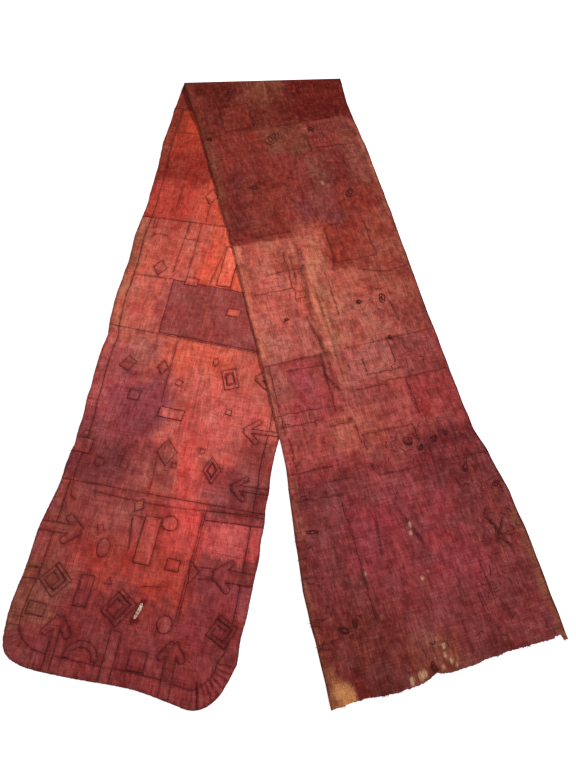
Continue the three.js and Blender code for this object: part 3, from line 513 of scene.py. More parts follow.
def raffia(name, contrast, worn, roughness):
    material = bpy.data.materials.new(name)
    material.use_nodes = True
    tree = material.node_tree
    tree.nodes.clear()
    cloth = add_node(tree, "ShaderNodeUVMap", uv_map="cloth").outputs[0]
    # The dye attribute holds the dye colours together with their painted shade and highlight
    dye = add_node(tree, "ShaderNodeAttribute", attribute_name="dye").outputs["Color"]

    def noise(wide, long, detail, rough):
        spread = add_node(tree, "ShaderNodeMapping", {0: cloth, "Scale": (1 / wide, 1 / long, 1)})
        links = {0: spread.outputs[0], "Scale": 1.0, "Detail": detail, "Roughness": rough}
        return add_node(tree, "ShaderNodeTexNoise", links, noise_dimensions="2D").outputs[0]

    def maths(operation, *values):
        links = dict(enumerate(values))
        return add_node(tree, "ShaderNodeMath", links, operation=operation).outputs[0]

    def ranged(value, low, high, to_low, to_high):
        """A value carried from one range to another, and held at its ends."""
        links = {0: value, 1: low, 2: high, 3: to_low, 4: to_high}
        return add_node(tree, "ShaderNodeMapRange", links).outputs[0]

    def blended(share, colour, tone):
        """A colour, mixed with one tone by a share."""
        links = {0: share, 6: colour, 7: (*linear(tone), 1)}
        return add_node(tree, "ShaderNodeMix", links, data_type="RGBA").outputs[2]

    def summed(*shares):
        """The sum of several values, each times its share."""
        total = maths("MULTIPLY", *shares[0])
        for share in shares[1:]:
            total = maths("ADD", total, maths("MULTIPLY", *share))
        return total

    def line_of(wide, long):
        """Thin crooked lines, where a noise crosses its middle value."""
        off = maths("ABSOLUTE", maths("SUBTRACT", noise(wide, long, 2.5, 0.55), 0.5))
        return ranged(off, 0.0, 0.07, 1.0, 0.0)

    warp = noise(STREAK_WIDE, STREAK_LONG, 2.0, 0.5)
    weft = noise(STREAK_LONG, STREAK_WIDE, 2.0, 0.5)
    fine = noise(FINE_WIDE, FINE_LONG, 2.0, 0.6)
    crease = noise(CREASE_WIDE, CREASE_LONG, 2.0, 0.5)
    cloud = noise(CLOUD_WIDE, CLOUD_LONG, 4.0, 0.55)
    grain = noise(GRAIN, GRAIN, 4.0, 0.7)
    crush = noise(CRUSH_WIDE, CRUSH_LONG, 2.0, 0.5)
    fold_crease_lines = [line_of(FOLD_CREASE_LINE_WIDE, FOLD_CREASE_LINE_LONG), line_of(FOLD_CREASE_LINE_LONG, FOLD_CREASE_LINE_WIDE),
                  line_of(WRINKLE_WIDE, WRINKLE_LONG)]
    marked = summed(*((mark, 0.6) for mark in fold_crease_lines))
    # The wrinkle lines are sunk in the bump and darkened in the colour as painted shade
    wrinkle = maths("MULTIPLY", marked, maths("MULTIPLY", crease, cloud))

    # How light the cloth is from place to place: uneven dye in the streaks, grain and clouds,
    # with painted light and shade following the bumped creases and painted shade in the wrinkle lines;
    # the paler places less red
    tone = summed((warp, 0.28), (weft, 0.18), (fine, 0.05), (crease, 0.62), (crush, 0.62), (cloud, 0.88),
                  (grain, 0.05), (wrinkle, -0.9))
    level = ranged(tone, 0.95, 1.51, 1 - contrast, 1 + contrast)
    hue = ranged(noise(0.9 * CLOUD_WIDE, CLOUD_WIDE, 3.0, 0.6), 0.3, 0.7, 0.8, 1.16)
    deep = maths("MULTIPLY", maths("POWER", level, 1.3), hue)
    depth = add_node(tree, "ShaderNodeCombineXYZ", {0: level, 1: deep, 2: deep})
    shaded = add_node(tree, "ShaderNodeVectorMath", {0: dye, 1: depth.outputs[0]}, operation="MULTIPLY")
    high = maths("MULTIPLY", maths("ADD", warp, weft), maths("MULTIPLY", grain, crease))
    rubbed = blended(ranged(high, 0.30, 0.44, 0.0, worn), shaded.outputs[0], WORN_TONE)
    specks = ranged(noise(SPECK_WIDE, SPECK_LONG, 2.0, 0.5), 0.68, 0.78, 0.0, 0.45)
    colour = blended(specks, rubbed, SPECK_TONE)

    parts = add_node(tree, "ShaderNodeSeparateXYZ", {0: cloth})
    over = [maths("SINE", maths("MULTIPLY", parts.outputs[k], math.pi / THREAD_PITCH)) for k in (0, 1)]
    crossing = maths("MULTIPLY", over[0], over[1])
    relief = summed((crossing, 0.2 * MM), (grain, 0.2 * MM), (warp, 0.5 * MM), (weft, 0.4 * MM),
                    (crease, 3.0 * MM), (wrinkle, -3.5 * MM), (crush, 4.5 * MM))
    bump = add_node(tree, "ShaderNodeBump", {"Height": relief, "Strength": 0.8, "Distance": 1.0})
    shader = add_node(tree, "ShaderNodeBsdfPrincipled", {
        "Base Color": colour, "Roughness": ranged(grain, 0.3, 0.7, roughness - 0.06, roughness + 0.08),
        "Normal": bump.outputs[0], "Specular IOR Level": 0.05, "Sheen Weight": 0.02,
        "Sheen Roughness": 0.5, "Sheen Tint": (0.8, 0.35, 0.25, 1)})
    add_node(tree, "ShaderNodeOutputMaterial", {0: shader.outputs[0]})
    return material


face_raffia = raffia("dyed raffia face", contrast=0.30, worn=0.06, roughness=0.82)
reverse_raffia = raffia("worn raffia reverse", contrast=0.35, worn=0.10, roughness=0.88)
SHARP_ANGLE = 50
sheets = []


def closed_sheet(name, s, t, faces, low, high, material, tint=None):
    """A closed sheet over flat faces on the cloth, from one height off it to another."""
    count = len(s)
    points = np.vstack([place(s, t, low), place(s, t, high)])
    uses = {}
    for face in faces:
        for k, corner in enumerate(face):
            pair = (corner, face[(k + 1) % len(face)])
            uses[pair] = uses.get(pair, 0) + 1
    rim = [(a, b) for a, b in uses if (b, a) not in uses]
    top = [tuple(c + count for c in face) for face in faces]
    bottom = [tuple(reversed(face)) for face in faces]
    walls = [(a, b, b + count, a + count) for a, b in rim]
    mesh = bpy.data.meshes.new(name)
    mesh.from_pydata(points.tolist(), [], top + bottom + walls)
    mesh.validate()
    colour = dye_and_painted_light_at(s, t)
    if tint is not None:
        dye_over(colour, *tint)
    colour = np.column_stack([np.tile(colour, (2, 1)), np.ones(2 * count)])
    layer = mesh.attributes.new("dye", "FLOAT_COLOR", "POINT")
    layer.data.foreach_set("color", colour.ravel())
    corners = np.empty(len(mesh.loops), np.int64)
    mesh.loops.foreach_get("vertex_index", corners)
    flat = np.column_stack([t, s]) * MM
    uv = mesh.uv_layers.new(name="cloth")
    uv.data.foreach_set("uv", flat[corners % count].ravel())
    mesh.polygons.foreach_set("use_smooth", [True] * len(mesh.polygons))
    mesh.materials.append(material)
    sheets.append((mesh, np.tile(t, 2), np.tile(s, 2)))
    piece = bpy.data.objects.new(name, mesh)
    bpy.context.scene.collection.objects.link(piece)
    mesh.set_sharp_from_angle(angle=math.radians(SHARP_ANGLE))
    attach(piece, "root")
    return piece


def grid_faces(rows, columns):
    """Square faces over a grid of places, row by row."""
    return [(i * columns + j, i * columns + j + 1, (i + 1) * columns + j + 1, (i + 1) * columns + j)
            for i in range(rows - 1) for j in range(columns - 1)]


def woven_grid(start, end, across, cell):
    """Places over a part of the strip, from one line across it to another."""
    rows = math.ceil((end(0) - start(0)) / cell) + 1
    v = np.linspace(0, 1, rows)[:, None]
    at_side = [start(side) + (end(side) - start(side)) * v for side in (-SEAM_HALF, SEAM_HALF)]
    t0, t1 = across(edge_at(at_side[0])[0], edge_at(at_side[1])[1])
    columns = math.ceil(float(np.mean(t1 - t0)) / cell) + 1
    t = t0 + (t1 - t0) * np.linspace(0, 1, columns)[None, :]
    s = start(t) + (end(t) - start(t)) * v
    return s.ravel(), t.ravel(), grid_faces(rows, columns)


def beside(seam, side):
    return lambda t: seam_at(seam, t) + side * SEAM_GAP / 2


def whole(a, b):
    return a, b


def flat_size(start, end):
    """Cut width and length of a panel in metres."""
    a, b = edge_at(np.array([(start(0) + end(0)) / 2]))
    return float(b[0] - a[0]) * MM, float(end(0) - start(0)) * MM


PANEL_CELL = 5
# Panels between two seams: node, the two seams, what it lies on
PANELS = [
    ("front_panel_3", "front 3 to end", "front 2 to 3", []),
    ("front_panel_2", "front 2 to 3", "front 1 to 2", []),
    ("front_panel_1", "front 1 to 2", "fold to front 1", []),
    ("back_panel_1", "fold to back 1", "back 1 to 2", ["front_panel_1", "front_panel_2"]),
    ("back_panel_2", "back 1 to 2", "back 2 to 3", ["front_panel_2", "front_panel_3"]),
    ("back_panel_3", "back 2 to 3", "back 3 to end", []),
]
for node, from_seam, to_seam, under in PANELS:
    start, end = beside(from_seam, 1), beside(to_seam, -1)
    s, t, faces = woven_grid(start, end, whole, PANEL_CELL)
    material, slot = (face_raffia, "face") if node.startswith("front") else (reverse_raffia, "reverse")
    panel = closed_sheet("woven_" + node, s, t, faces, -CLOTH / 2, CLOTH / 2, material)
    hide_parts(node)
    flat_size(start, end)

# Fold panel
# The middle length of raffia, sewn in like the others. The cloth bends back on
# itself here on a slant, loosely, round an open roll about a centimetre high.
FOLD_REACH = 24
FOLD_CELL = 1.6
# Between which s the panel's rows turn from the fold's slant to straight across
SLANT_FADES = (60, 200)


def fold_lines():
    """Where the panel's rows cross its middle, close together around the bend."""
    first, last = seam_at("fold to front 1", 0), seam_at("fold to back 1", 0)
    before = np.arange(first + PANEL_CELL, -FOLD_REACH, PANEL_CELL)
    around = np.arange(-FOLD_REACH, FOLD_REACH, FOLD_CELL)
    after = np.arange(FOLD_REACH, last - PANEL_CELL / 2, PANEL_CELL)
    return np.concatenate([before, around, after])


def fold_grid():
    u = np.linspace(0, 1, 2 * SEAM_HALF // PANEL_CELL + 1)
    middle = fold_lines()[:, None]
    slant = (1 - smooth(np.abs(middle), *SLANT_FADES)) * math.tan(SKEW)
    at_side = [middle + slant * side for side in (-SEAM_HALF, SEAM_HALF)]
    a, b = edge_at(at_side[0])[0], edge_at(at_side[1])[1]
    t = a + (b - a) * u
    s = middle + slant * t
    rows = []
    for line in (beside("fold to front 1", 1), beside("fold to back 1", -1)):
        a, b = edge_at(np.array([line(-SEAM_HALF)]))[0], edge_at(np.array([line(SEAM_HALF)]))[1]
        across = a + (b - a) * u
        rows.append((line(across), across))
    s = np.vstack([rows[0][0], s, rows[1][0]])
    t = np.vstack([rows[0][1], t, rows[1][1]])
    return s.ravel(), t.ravel(), grid_faces(*s.shape)


s, t, faces = fold_grid()
panel = closed_sheet("woven_fold_panel", s, t, faces, -CLOTH / 2, CLOTH / 2, reverse_raffia)
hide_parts("fold_panel")
fold_flat = flat_size(beside("fold to front 1", 1), beside("fold to back 1", -1))

# End panels
# The last length of each leg: the front one is cut to a rounded end and has a
# worn hole near its middle, and the back one is torn off, with loose threads.
ROUND_END = [
    (-300, 2140), (-294, 2180), (-279, 2209), (-250, 2226), (-200, 2236), (-100, 2240),
    (50, 2241), (150, 2255), (205, 2264), (240, 2255), (268, 2230), (285, 2198), (296, 2150),
]
TORN_END = [
    (-316, 2257), (-225, 2253), (-150, 2259), (-92, 2257), (-62, 2249), (-38, 2239),
    (-14, 2247), (60, 2243), (150, 2235), (279, 2233), (283, 2227), (297, 2229),
    (301, 2240), (318, 2242),
]
HOLE = [(33, 2044), (35, 2056), (29, 2070), (25, 2083), (19, 2085), (22, 2072), (26, 2059), (28, 2046)]
END_CELL = 4
HOLE_STEP = 2.5
HOLE_UNEVEN = 1.5
TORN_STEP = 3
TORN_UNEVEN = 3.0
# How far the filling places stay off every outline and line, in cells
CLEAR_OF_LINES = 0.55


def along_line(points, step):
    """Even points along straight runs, with every corner kept."""
    made = [np.array(points[0], float)]
    for a, b in zip(points[:-1], points[1:]):
        a, b = np.array(a, float), np.array(b, float)
        count = max(1, round(float(np.linalg.norm(b - a)) / step))
        made += [a + (b - a) * k / count for k in range(1, count + 1)]
    return np.array(made)


def rounded(points, step):
    """Even points along a smooth curve through the given ones."""
    p = np.array([points[0], *points, points[-1]], float)
    made = []
    for a, b, c, d in zip(p[:-3], p[1:-2], p[2:-1], p[3:]):
        count = max(1, round(float(np.linalg.norm(c - b)) / step))
        for k in range(count):
            u = k / count
            made.append(b + 0.5 * u * (c - a + u * (2 * a - 5 * b + 4 * c - d + u * (3 * (b - c) + d - a))))
    return np.array([*made, p[-1]])


def inside_of(points, outline):
    """Which points lie inside a closed outline."""
    x, y = points[:, 0], points[:, 1]
    inside = np.zeros(len(points), bool)
    for (ax, ay), (bx, by) in zip(outline, np.roll(outline, -1, axis=0)):
        crosses = (ay > y) != (by > y)
        if by != ay:
            inside ^= crosses & (x < ax + (y - ay) * (bx - ax) / (by - ay))
    return inside


def distance_to_runs(points, starts, ends):
    """Distance from points to the nearest of several straight runs."""
    far = np.full(len(points), np.inf)
    for a, b in zip(starts, ends):
        run = b - a
        share = np.clip(((points - a) @ run) / max(run @ run, 1e-9), 0, 1)
        far = np.minimum(far, np.linalg.norm(points - a - share[:, None] * run, axis=1))
    return far


def distance_to(points, line, closed=True):
    """Distance from points to an outline or a line."""
    return distance_to_runs(points, line, np.roll(line, -1, axis=0) if closed else line[1:])


def cut_places(loops, cell, holes=(), lines=(), keep_where=None):
    """Places and triangles that fill one outline, or several joined, in (t, s).

    Holes are left out, lines are followed by the triangles' sides, and
    keep_where says which triangles stay, from their middles."""
    loops, holes = [np.array(loop) for loop in loops], [np.array(hole) for hole in holes]
    low = np.min([loop.min(0) for loop in loops], axis=0)
    high = np.max([loop.max(0) for loop in loops], axis=0)
    x, y = np.meshgrid(*(np.arange(low[k] + cell / 2, high[k], cell) for k in (0, 1)))
    fill = np.column_stack([x.ravel(), y.ravel()])

    def wanted(p):
        stay = np.any([inside_of(p, loop) for loop in loops], axis=0)
        for hole in holes:
            stay &= ~inside_of(p, hole)
        return stay if keep_where is None else stay & keep_where(p)

    keep = wanted(fill)
    for loop in (*loops, *holes):
        keep &= distance_to(fill, loop) > CLEAR_OF_LINES * cell
    for line in lines:
        keep &= distance_to(fill, line, closed=False) > CLEAR_OF_LINES * cell
    points, edges, first = [], [], 0
    for loop in (*loops, *holes):
        points.append(loop)
        edges += [(first + k, first + (k + 1) % len(loop)) for k in range(len(loop))]
        first += len(loop)
    for line in lines:
        points.append(line)
        edges += [(first + k, first + k + 1) for k in range(len(line) - 1)]
        first += len(line)
    points = np.vstack([*points, fill[keep]])
    made = delaunay_2d_cdt([Vector(p) for p in points.tolist()], edges, [], 0, 1e-5, False)
    points, faces = np.array([tuple(p) for p in made[0]]), np.array(made[2])
    a, b, c = (points[faces[:, k]] for k in range(3))
    turned = (b[:, 0] - a[:, 0]) * (c[:, 1] - a[:, 1]) - (b[:, 1] - a[:, 1]) * (c[:, 0] - a[:, 0])
    faces[turned < 0] = faces[turned < 0][:, ::-1]
    faces = faces[wanted(points[faces].mean(1)) & (np.abs(turned) > 1e-6)]
    used, faces = np.unique(faces, return_inverse=True)
    points = points[used]
    return points[:, 1], points[:, 0], [tuple(f) for f in faces.reshape(-1, 3).tolist()]


def side_line(edge, s_from, s_to, step):
    s = np.linspace(s_from, s_to, max(2, round(abs(s_to - s_from) / step)) + 1)
    return np.column_stack([edge_at(s)[edge], s])


def ragged(points, much, size, seed):
    """Pushes points of a torn edge in and out along the cloth."""
    t, s = points[:, 0], points[:, 1]
    off = lumps(t, s, size, size, seed) + lumps(t, s, 3, 3, seed + 1)
    return points + np.column_stack([0 * off, much * (off - 1)])


def seam_line(seam, side, step):
    a, b = edge_at(np.array(SEAMS[seam], float))
    t = np.linspace(a[0], b[1], round((b[1] - a[0]) / step) + 1)
    return np.column_stack([t, beside(seam, side)(t)])


def meeting_edges(end, sign):
    """An end's outline with its first and last point set on the free edges."""
    first, last = end[0][1], end[-1][1]
    return [(float(edge_at(np.array([sign * first]))[0][0]), first), *end[1:-1],
            (float(edge_at(np.array([sign * last]))[1][0]), last)]


round_line = rounded(meeting_edges(ROUND_END, -1), END_CELL) * (1, -1)
front_outline = np.vstack([
    side_line(0, SEAMS["front 3 to end"][0], round_line[0, 1], END_CELL)[1:-1], round_line,
    side_line(1, round_line[-1, 1], SEAMS["front 3 to end"][1], END_CELL)[1:-1],
    seam_line("front 3 to end", -1, END_CELL)[::-1]])
hole_places = along_line([*HOLE, HOLE[0]], HOLE_STEP)[:-1] * (1, -1)
hole_line = ragged(hole_places, HOLE_UNEVEN, size=4, seed=31)
s, t, faces = cut_places([front_outline], END_CELL, [hole_line])
panel = closed_sheet("woven_front_panel_end", s, t, faces, -CLOTH / 2, CLOTH / 2, face_raffia)
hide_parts("front_panel_end")

torn_places = along_line(meeting_edges(TORN_END, 1), TORN_STEP)
torn_line = ragged(torn_places, TORN_UNEVEN, size=14, seed=33)
back_outline = np.vstack([
    seam_line("back 3 to end", 1, END_CELL),
    side_line(1, SEAMS["back 3 to end"][1], torn_line[-1, 1], END_CELL)[1:-1], torn_line[::-1],
    side_line(0, torn_line[0, 1], SEAMS["back 3 to end"][0], END_CELL)[1:-1]])
s, t, faces = cut_places([back_outline], END_CELL)
panel = closed_sheet("woven_back_panel_end", s, t, faces, -CLOTH / 2, CLOTH / 2, reverse_raffia)
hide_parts("back_panel_end")

# Border
# Raffia strips about 33 mm wide, sewn flat along both edges of the face, with one
# cut and gathered around the rounded end. They are turned under at their edges.
BORDER = 33
APPLIED = 0.8
UNDER = 0.9
BORDER_CELL = 3.0
# How far a sewn edge is pressed down and how far the piece puffs up inside it,
# with how far in from the edge each of them reaches
EDGE_ROUND = 0.35
ROUND_REACH = 3.5
EDGE_PUFF = 0.3
PUFF_REACH = (2, 9)
EDGE_THREAD_OFF = 0.1
# The inner edge of the strip around the rounded end, as points of t and r
END_BORDER = [
    (-254, 1600), (-257, 1960), (-264, 2062), (-268, 2122), (-257, 2158), (-226, 2186),
    (-182, 2197), (-60, 2203), (40, 2205), (120, 2211), (198, 2221), (220, 2212),
    (248, 2182), (255, 2152), (271, 2112), (276, 2000), (277, 1600),
]
sewn_edges = []
outlines = []


def rim_of(faces):
    used = set()
    for face in faces:
        used.update(zip(face, (*face[1:], face[0])))
    return [(a, b) for a, b in used if (b, a) not in used]


def sewn_piece(name, node, s, t, faces, lift, material, tint=None, stitched=None):
    """A thin piece sewn on the face, with its edges pressed down by the thread."""
    rim = rim_of(faces)
    places = np.column_stack([t, s])
    far = distance_to_runs(places, *(places[[pair[k] for pair in rim]] for k in (0, 1)))
    pressed = 1 - smooth(far, 0, ROUND_REACH)
    high = UNDER + APPLIED + lift + EDGE_PUFF * smooth(far, *PUFF_REACH) - EDGE_ROUND * pressed
    piece = closed_sheet(name, s, t, faces, UNDER + lift, high, material, tint)
    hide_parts(node)
    chosen = [(a, b) for a, b in rim if stitched is None or (stitched[a] and stitched[b])]
    sewn_edges.append((place(s, t, high + EDGE_THREAD_OFF), chosen))
    if chosen:
        outlines.append(places[sorted({corner for pair in chosen for corner in pair})])
    return piece


def left_strip(a, b):
    return a, a + BORDER


def right_strip(a, b):
    return b - BORDER, b


border_raffia = raffia("dyed raffia border strip", contrast=0.34, worn=0.08, roughness=0.84)
for node, from_seam, to_seam, under in PANELS[:3]:
    for side in ("left", "right"):
        start, end = beside(from_seam, 1), beside(to_seam, -1)
        across = left_strip if side == "left" else right_strip
        s, t, faces = woven_grid(start, end, across, BORDER_CELL)
        name = node.replace("front_panel", "border_" + side)
        border = sewn_piece("sewn_" + name, name, s, t, faces, 0, border_raffia)
        flat_size(start, end)[1]


def border_depth(s, t):
    """How far inside the border strips a place is, below zero on the open cloth."""
    a, b = edge_at(s)
    depth = np.maximum(a + BORDER - t, t - (b - BORDER))
    low = s < SEAMS["front 3 to end"][0]
    if low.any():
        points = np.column_stack([t, s])[low]
        far = distance_to(points, inner_line, closed=False)
        depth[low] = np.where(inside_of(points, inner_line), -far, far)
    return depth


inner_line = rounded(END_BORDER, BORDER_CELL) * (1, -1)
s, t, faces = cut_places([front_outline], BORDER_CELL, lines=[inner_line],
                         keep_where=lambda p: ~inside_of(p, inner_line))
border = sewn_piece("sewn_border_end", "border_end", s, t, faces, 0, border_raffia)

# Plum patch
# One large piece of raffia in a darker dye, sewn flat on the second front panel.
PLUM_PATCH = [(-128, 1031), (205, 1055), (205, 1264), (-127, 1240)]
SEWN_CELL = 4.2
plum_raffia = raffia("plum dyed raffia", contrast=0.30, worn=0.05, roughness=0.84)


def uneven(outline, much=0.9, seed=41):
    """The slight waver of an outline cut and turned under by hand."""
    t, s = outline[:, 0], outline[:, 1]
    off = np.column_stack([lumps(t, s, 16, 16, seed), lumps(t, s, 14, 18, seed + 1)]) - 0.5
    return outline + 2 * much * off


def on_front(points, cell):
    """A closed outline given in (t, r), as even points in (t, s)."""
    return uneven(along_line([*points, points[0]], cell)[:-1] * (1, -1))


s, t, faces = cut_places([on_front(PLUM_PATCH, SEWN_CELL)], SEWN_CELL)
patch = sewn_piece("sewn_plum_patch", "plum_patch", s, t, faces, 0, plum_raffia,
                   tint=("mulberry", 0.95))

# Plain sewn shapes
# Lozenges, tabs, discs and slabs of raffia, cut out, turned under and sewn down
# with a dark outline. Those at the edge of the cloth ride up over the border.
# How high they climb on the border, and how far outside it the climb starts and ends
CLIMB = 1.1
CLIMB_FROM = -8
CLIMB_TO = -1.5
SMALL_SHAPE = 20
SMALL_CELL = 3
BELOW_FOLD = -230
# Node, panel, outline, t, r, width, length, turn, tint, how much tint
SHAPES = [
    ("lozenge_1", "1", "diamond", -78, 650, 44, 74, 0, "clay", 0.15),
    ("lozenge_2", "2", "diamond", -186, 988, 47, 62, 0, "rose", 0.1),
    ("strip_1", "2", "rect", 46, 951, 46, 164, 2, "salmon", 0.8),
    ("tab_1", "2", "rect", -65, 1031, 42, 30, 3, "coral", 0.6),
    ("tab_2", "2", "rect", 97, 1132, 42, 27, 3, "coral", 0.7),
    ("tab_3", "3", "rect", -194, 1364, 34, 42, 32, "mulberry", 0.8),
    ("lozenge_3", "3", "diamond", -83, 1362, 33, 48, 0, "tan", 0.2),
    ("square_1", "3", "rect", -21, 1408, 17, 17, 25, "coral", 0.4),
    ("oval_1", "3", "oval", 78, 1320, 15, 27, 0, "vermilion", 0.3),
    ("tab_4", "3", "rect", -147, 1466, 34, 32, 4, "rosewood", 0.2),
    ("square_4", "3", "rect", 150, 1483, 15, 15, 8, "biscuit", 0.8),
    ("bar_1", "3", "rect", -20, 1512, 76, 32, 5, "coral", 0.8),
    ("kite_1", "3", "diamond", -4, 1632, 58, 80, -6, "mauve", 0.7),
    ("tab_5", "3", "rect", -258, 1647, 64, 44, 2, "mulberry", 0.6),
    ("pennant_1", "end", "diamond", -42, 1796, 28, 38, 25, "biscuit", 0.4),
    ("patch_dark", "end", "rect", 238, 1795, 184, 25, -1, "plum rose", 0.3),
    ("patch_light", "end", "rect", 231, 1855, 88, 78, 2, "coral", 0.15),
    ("disc_1", "end", "oval", 55, 1833, 44, 38, 0, "rose", 0.4),
    ("slab_1", "end", "rect", 5, 1886, 45, 126, 2, "coral", 0.45),
    ("oval_2", "end", "oval", -108, 1923, 33, 50, 0, "dusty red", 0.6),
    ("square_2", "end", "rect", 88, 1940, 35, 29, 4, "tile", 0.5),
    ("strip_3", "end", "rect", -290, 2014, 64, 28, 0, "brown", 0.5),
    ("slab_2", "end", "rect", -127, 2037, 36, 78, 1, "wine red", 0.6),
    ("disc_2", "end", "oval", 102, 2086, 39, 41, 0, "dusty red", 0.8),
    ("tab_6", "end", "rect", -236, 2098, 46, 30, 3, "ash", 0.7),
    ("strip_2", "end", "rect", -16, 2196, 27, 150, 1, "dark rose", 0.4),
    ("square_3", "end", "rect", 54, 2179, 42, 44, 1, "grape", 0.3),
]
OVER_PATCH = ("tab_1", "tab_2")
SEWN_FROM_BEHIND = ("patch_light",)
OVAL_STEPS = 32
sewn_raffia = raffia("dyed raffia shape", contrast=0.30, worn=0.06, roughness=0.84)
leg_outline = np.vstack([
    side_line(0, BELOW_FOLD, round_line[0, 1], END_CELL)[:-1], round_line,
    side_line(1, round_line[-1, 1], BELOW_FOLD, END_CELL)[1:]])


def turned(points, t, r, turn):
    c, s = math.cos(math.radians(turn)), math.sin(math.radians(turn))
    return [(t + across * c - down * s, r + across * s + down * c) for across, down in points]


def rect(wide, long, share=1):
    w, l = wide / 2 * share, long / 2 * share
    return [(-w, -l), (w, -l), (w, l), (-w, l)]


def diamond(wide, long, share=1):
    w, l = wide / 2 * share, long / 2 * share
    return [(0, -l), (w, 0), (0, l), (-w, 0)]


def oval(wide, long, share=1):
    turns = [2 * math.pi * k / OVAL_STEPS for k in range(OVAL_STEPS)]
    return [(wide / 2 * share * math.cos(a), long / 2 * share * math.sin(a)) for a in turns]


def near_part(line, loops, room=30):
    """The stretches of a long line that pass near some outlines."""
    low = np.min([loop.min(0) for loop in loops], axis=0) - room
    high = np.max([loop.max(0) for loop in loops], axis=0) + room
    near = np.all((line > low) & (line < high), axis=1)
    parts = np.split(np.arange(len(line)), np.flatnonzero(np.diff(near.astype(int))) + 1)
    return [line[part] for part in parts if near[part[0]] and len(part) > 1]


def sew_on(node, loops, holes=(), tint=None, cell=SEWN_CELL):
    """Cuts a shape, clips it at the cloth's edge and sews it on its panel."""
    lines = near_part(leg_outline, loops)
    s, t, faces = cut_places(loops, cell, holes, lines, lambda p: inside_of(p, leg_outline))
    climbed = smooth(border_depth(s, t), CLIMB_FROM, CLIMB_TO)
    lift = CLIMB * (np.ones(len(s)) if node in OVER_PATCH else climbed)
    on_edge = distance_to(np.column_stack([t, s]), leg_outline, closed=False) < 1
    if node in SEWN_FROM_BEHIND:
        on_edge[:] = True
    piece = sewn_piece("sewn_" + node, node, s, t, faces, lift, sewn_raffia, tint, ~on_edge)


KINDS = {"rect": rect, "diamond": diamond, "oval": oval}
for node, panel, kind, t, r, wide, long, turn, dye, much in SHAPES:
    cell = SMALL_CELL if min(wide, long) < SMALL_SHAPE else SEWN_CELL
    outline = on_front(turned(KINDS[kind](wide, long), t, r, turn), cell)
    sew_on(node, [outline], tint=(dye, much), cell=cell)

# Shapes within shapes
# A cut-out ring of raffia with a smaller piece of its own outline in its middle.
# Node, panel, outline, t, r, width, length, turn, tint, how much tint
NESTED = [
    ("nested_1", "3", "rect", 133, 1372, 44, 66, -21, "coral", 0.2),
    ("nested_2", "3", "diamond", 137, 1667, 52, 80, -9, "coral", 0.4),
]
RING_HOLE = 0.62
CORE_SIZE = 0.46
NESTED_CELL = 3.2
for node, panel, kind, t, r, wide, long, turn, dye, much in NESTED:
    ring, hole, core = (on_front(turned(KINDS[kind](wide, long, share), t, r, turn), NESTED_CELL)
                        for share in (1, RING_HOLE, CORE_SIZE))
    sew_on(node + "_ring", [ring], [hole], (dye, much), NESTED_CELL)
    sew_on(node + "_core", [core], (), (dye, much), NESTED_CELL)

# Square spirals
# One raffia strip 10 mm wide that turns inwards, with a slit beside itself.
# Node, t, r, width, length, turn, tint, how much tint
SPIRALS = [
    ("spiral_1", -209, 2022, 62, 62, 40, "grape", 0.2),
    ("spiral_2", -25, 2064, 58, 72, 35, "wine red", 0.3),
    ("spiral_3", 251, 2081, 58, 58, 27, "wine", 0.35),
]
SPIRAL_STRIP = 10
SPIRAL_GAP = 3
SPIRAL_RUNS = 6
SPIRAL_CELL = 2.8


def spiral(wide, long):
    """The outline of a strip that turns right again and again, each pair of runs shorter."""
    half = SPIRAL_STRIP / 2
    at, way = np.array([-wide / 2, half - long / 2]), np.array([1.0, 0.0])
    corners = [at]
    for k in range(SPIRAL_RUNS):
        full = long if k % 2 else wide
        run = full - SPIRAL_STRIP - (SPIRAL_STRIP + SPIRAL_GAP) * max(0, (k - 1) // 2)
        run += half * ((k == 0) + (k == SPIRAL_RUNS - 1))
        corners.append(corners[-1] + way * run)
        way = np.array([-way[1], way[0]])
    ways = np.diff(corners, axis=0)
    ways /= np.linalg.norm(ways, axis=1)[:, None]
    sides = np.column_stack([-ways[:, 1], ways[:, 0]])
    mitres = np.vstack([sides[:1], sides[:-1] + sides[1:], sides[-1:]]) * half
    return [tuple(p) for p in (*(corners + mitres), *(corners - mitres)[::-1])]


for node, t, r, wide, long, turn, dye, much in SPIRALS:
    outline = on_front(turned(spiral(wide, long), t, r, turn), SPIRAL_CELL)
    sew_on(node, [outline], tint=(dye, much), cell=SPIRAL_CELL)

# Arrows
# A straight strip that ends in two slanted arms, sewn pointing inwards from the
# border. Way is the direction that the shaft runs from the tip, in degrees.
# Node, panel, tip t and r, way, shaft width, arm length, arm width, tint, how much
ARROWS = [
    ("arrow_1", "3", 213, 1356, 0, 12, 50, 14, "tan", 0.5),
    ("arrow_2", "3", 208, 1532, 0, 12, 56, 15, "mauve", 0.3),
    ("arrow_3", "3", 204, 1707, 0, 16, 54, 15, "grape", 0.8),
    ("arrow_4", "end", -184, 1889, 180, 25, 58, 20, "dark rose", 0.2),
    ("arrow_5", "end", 202, 1947, 0, 31, 62, 18, "wine red", 0.3),
    ("arrow_6", "end", -167, 2110, 90, 18, 56, 20, "wine", 0.2),
    ("arrow_7", "end", 137, 2126, 90, 26, 52, 18, "wine", 0.35),
]
ARM_SPREAD = 39
ARM_BLUNT = 0.9
BLUNT_STEPS = 7
SHAFT = 180
ARROW_CELL = 3.4


def bar(t, r, way, long, wide, blunt=0):
    """A straight bar from a point. blunt says how far its far end is rounded."""
    w = wide / 2
    turns = np.linspace(-math.pi / 2, math.pi / 2, BLUNT_STEPS if blunt else 2)
    end = [(long - w * blunt * (1 - math.cos(a)), w * math.sin(a)) for a in turns]
    return on_front(turned([(0, -w), *end, (0, w)], t, r, way), ARROW_CELL)


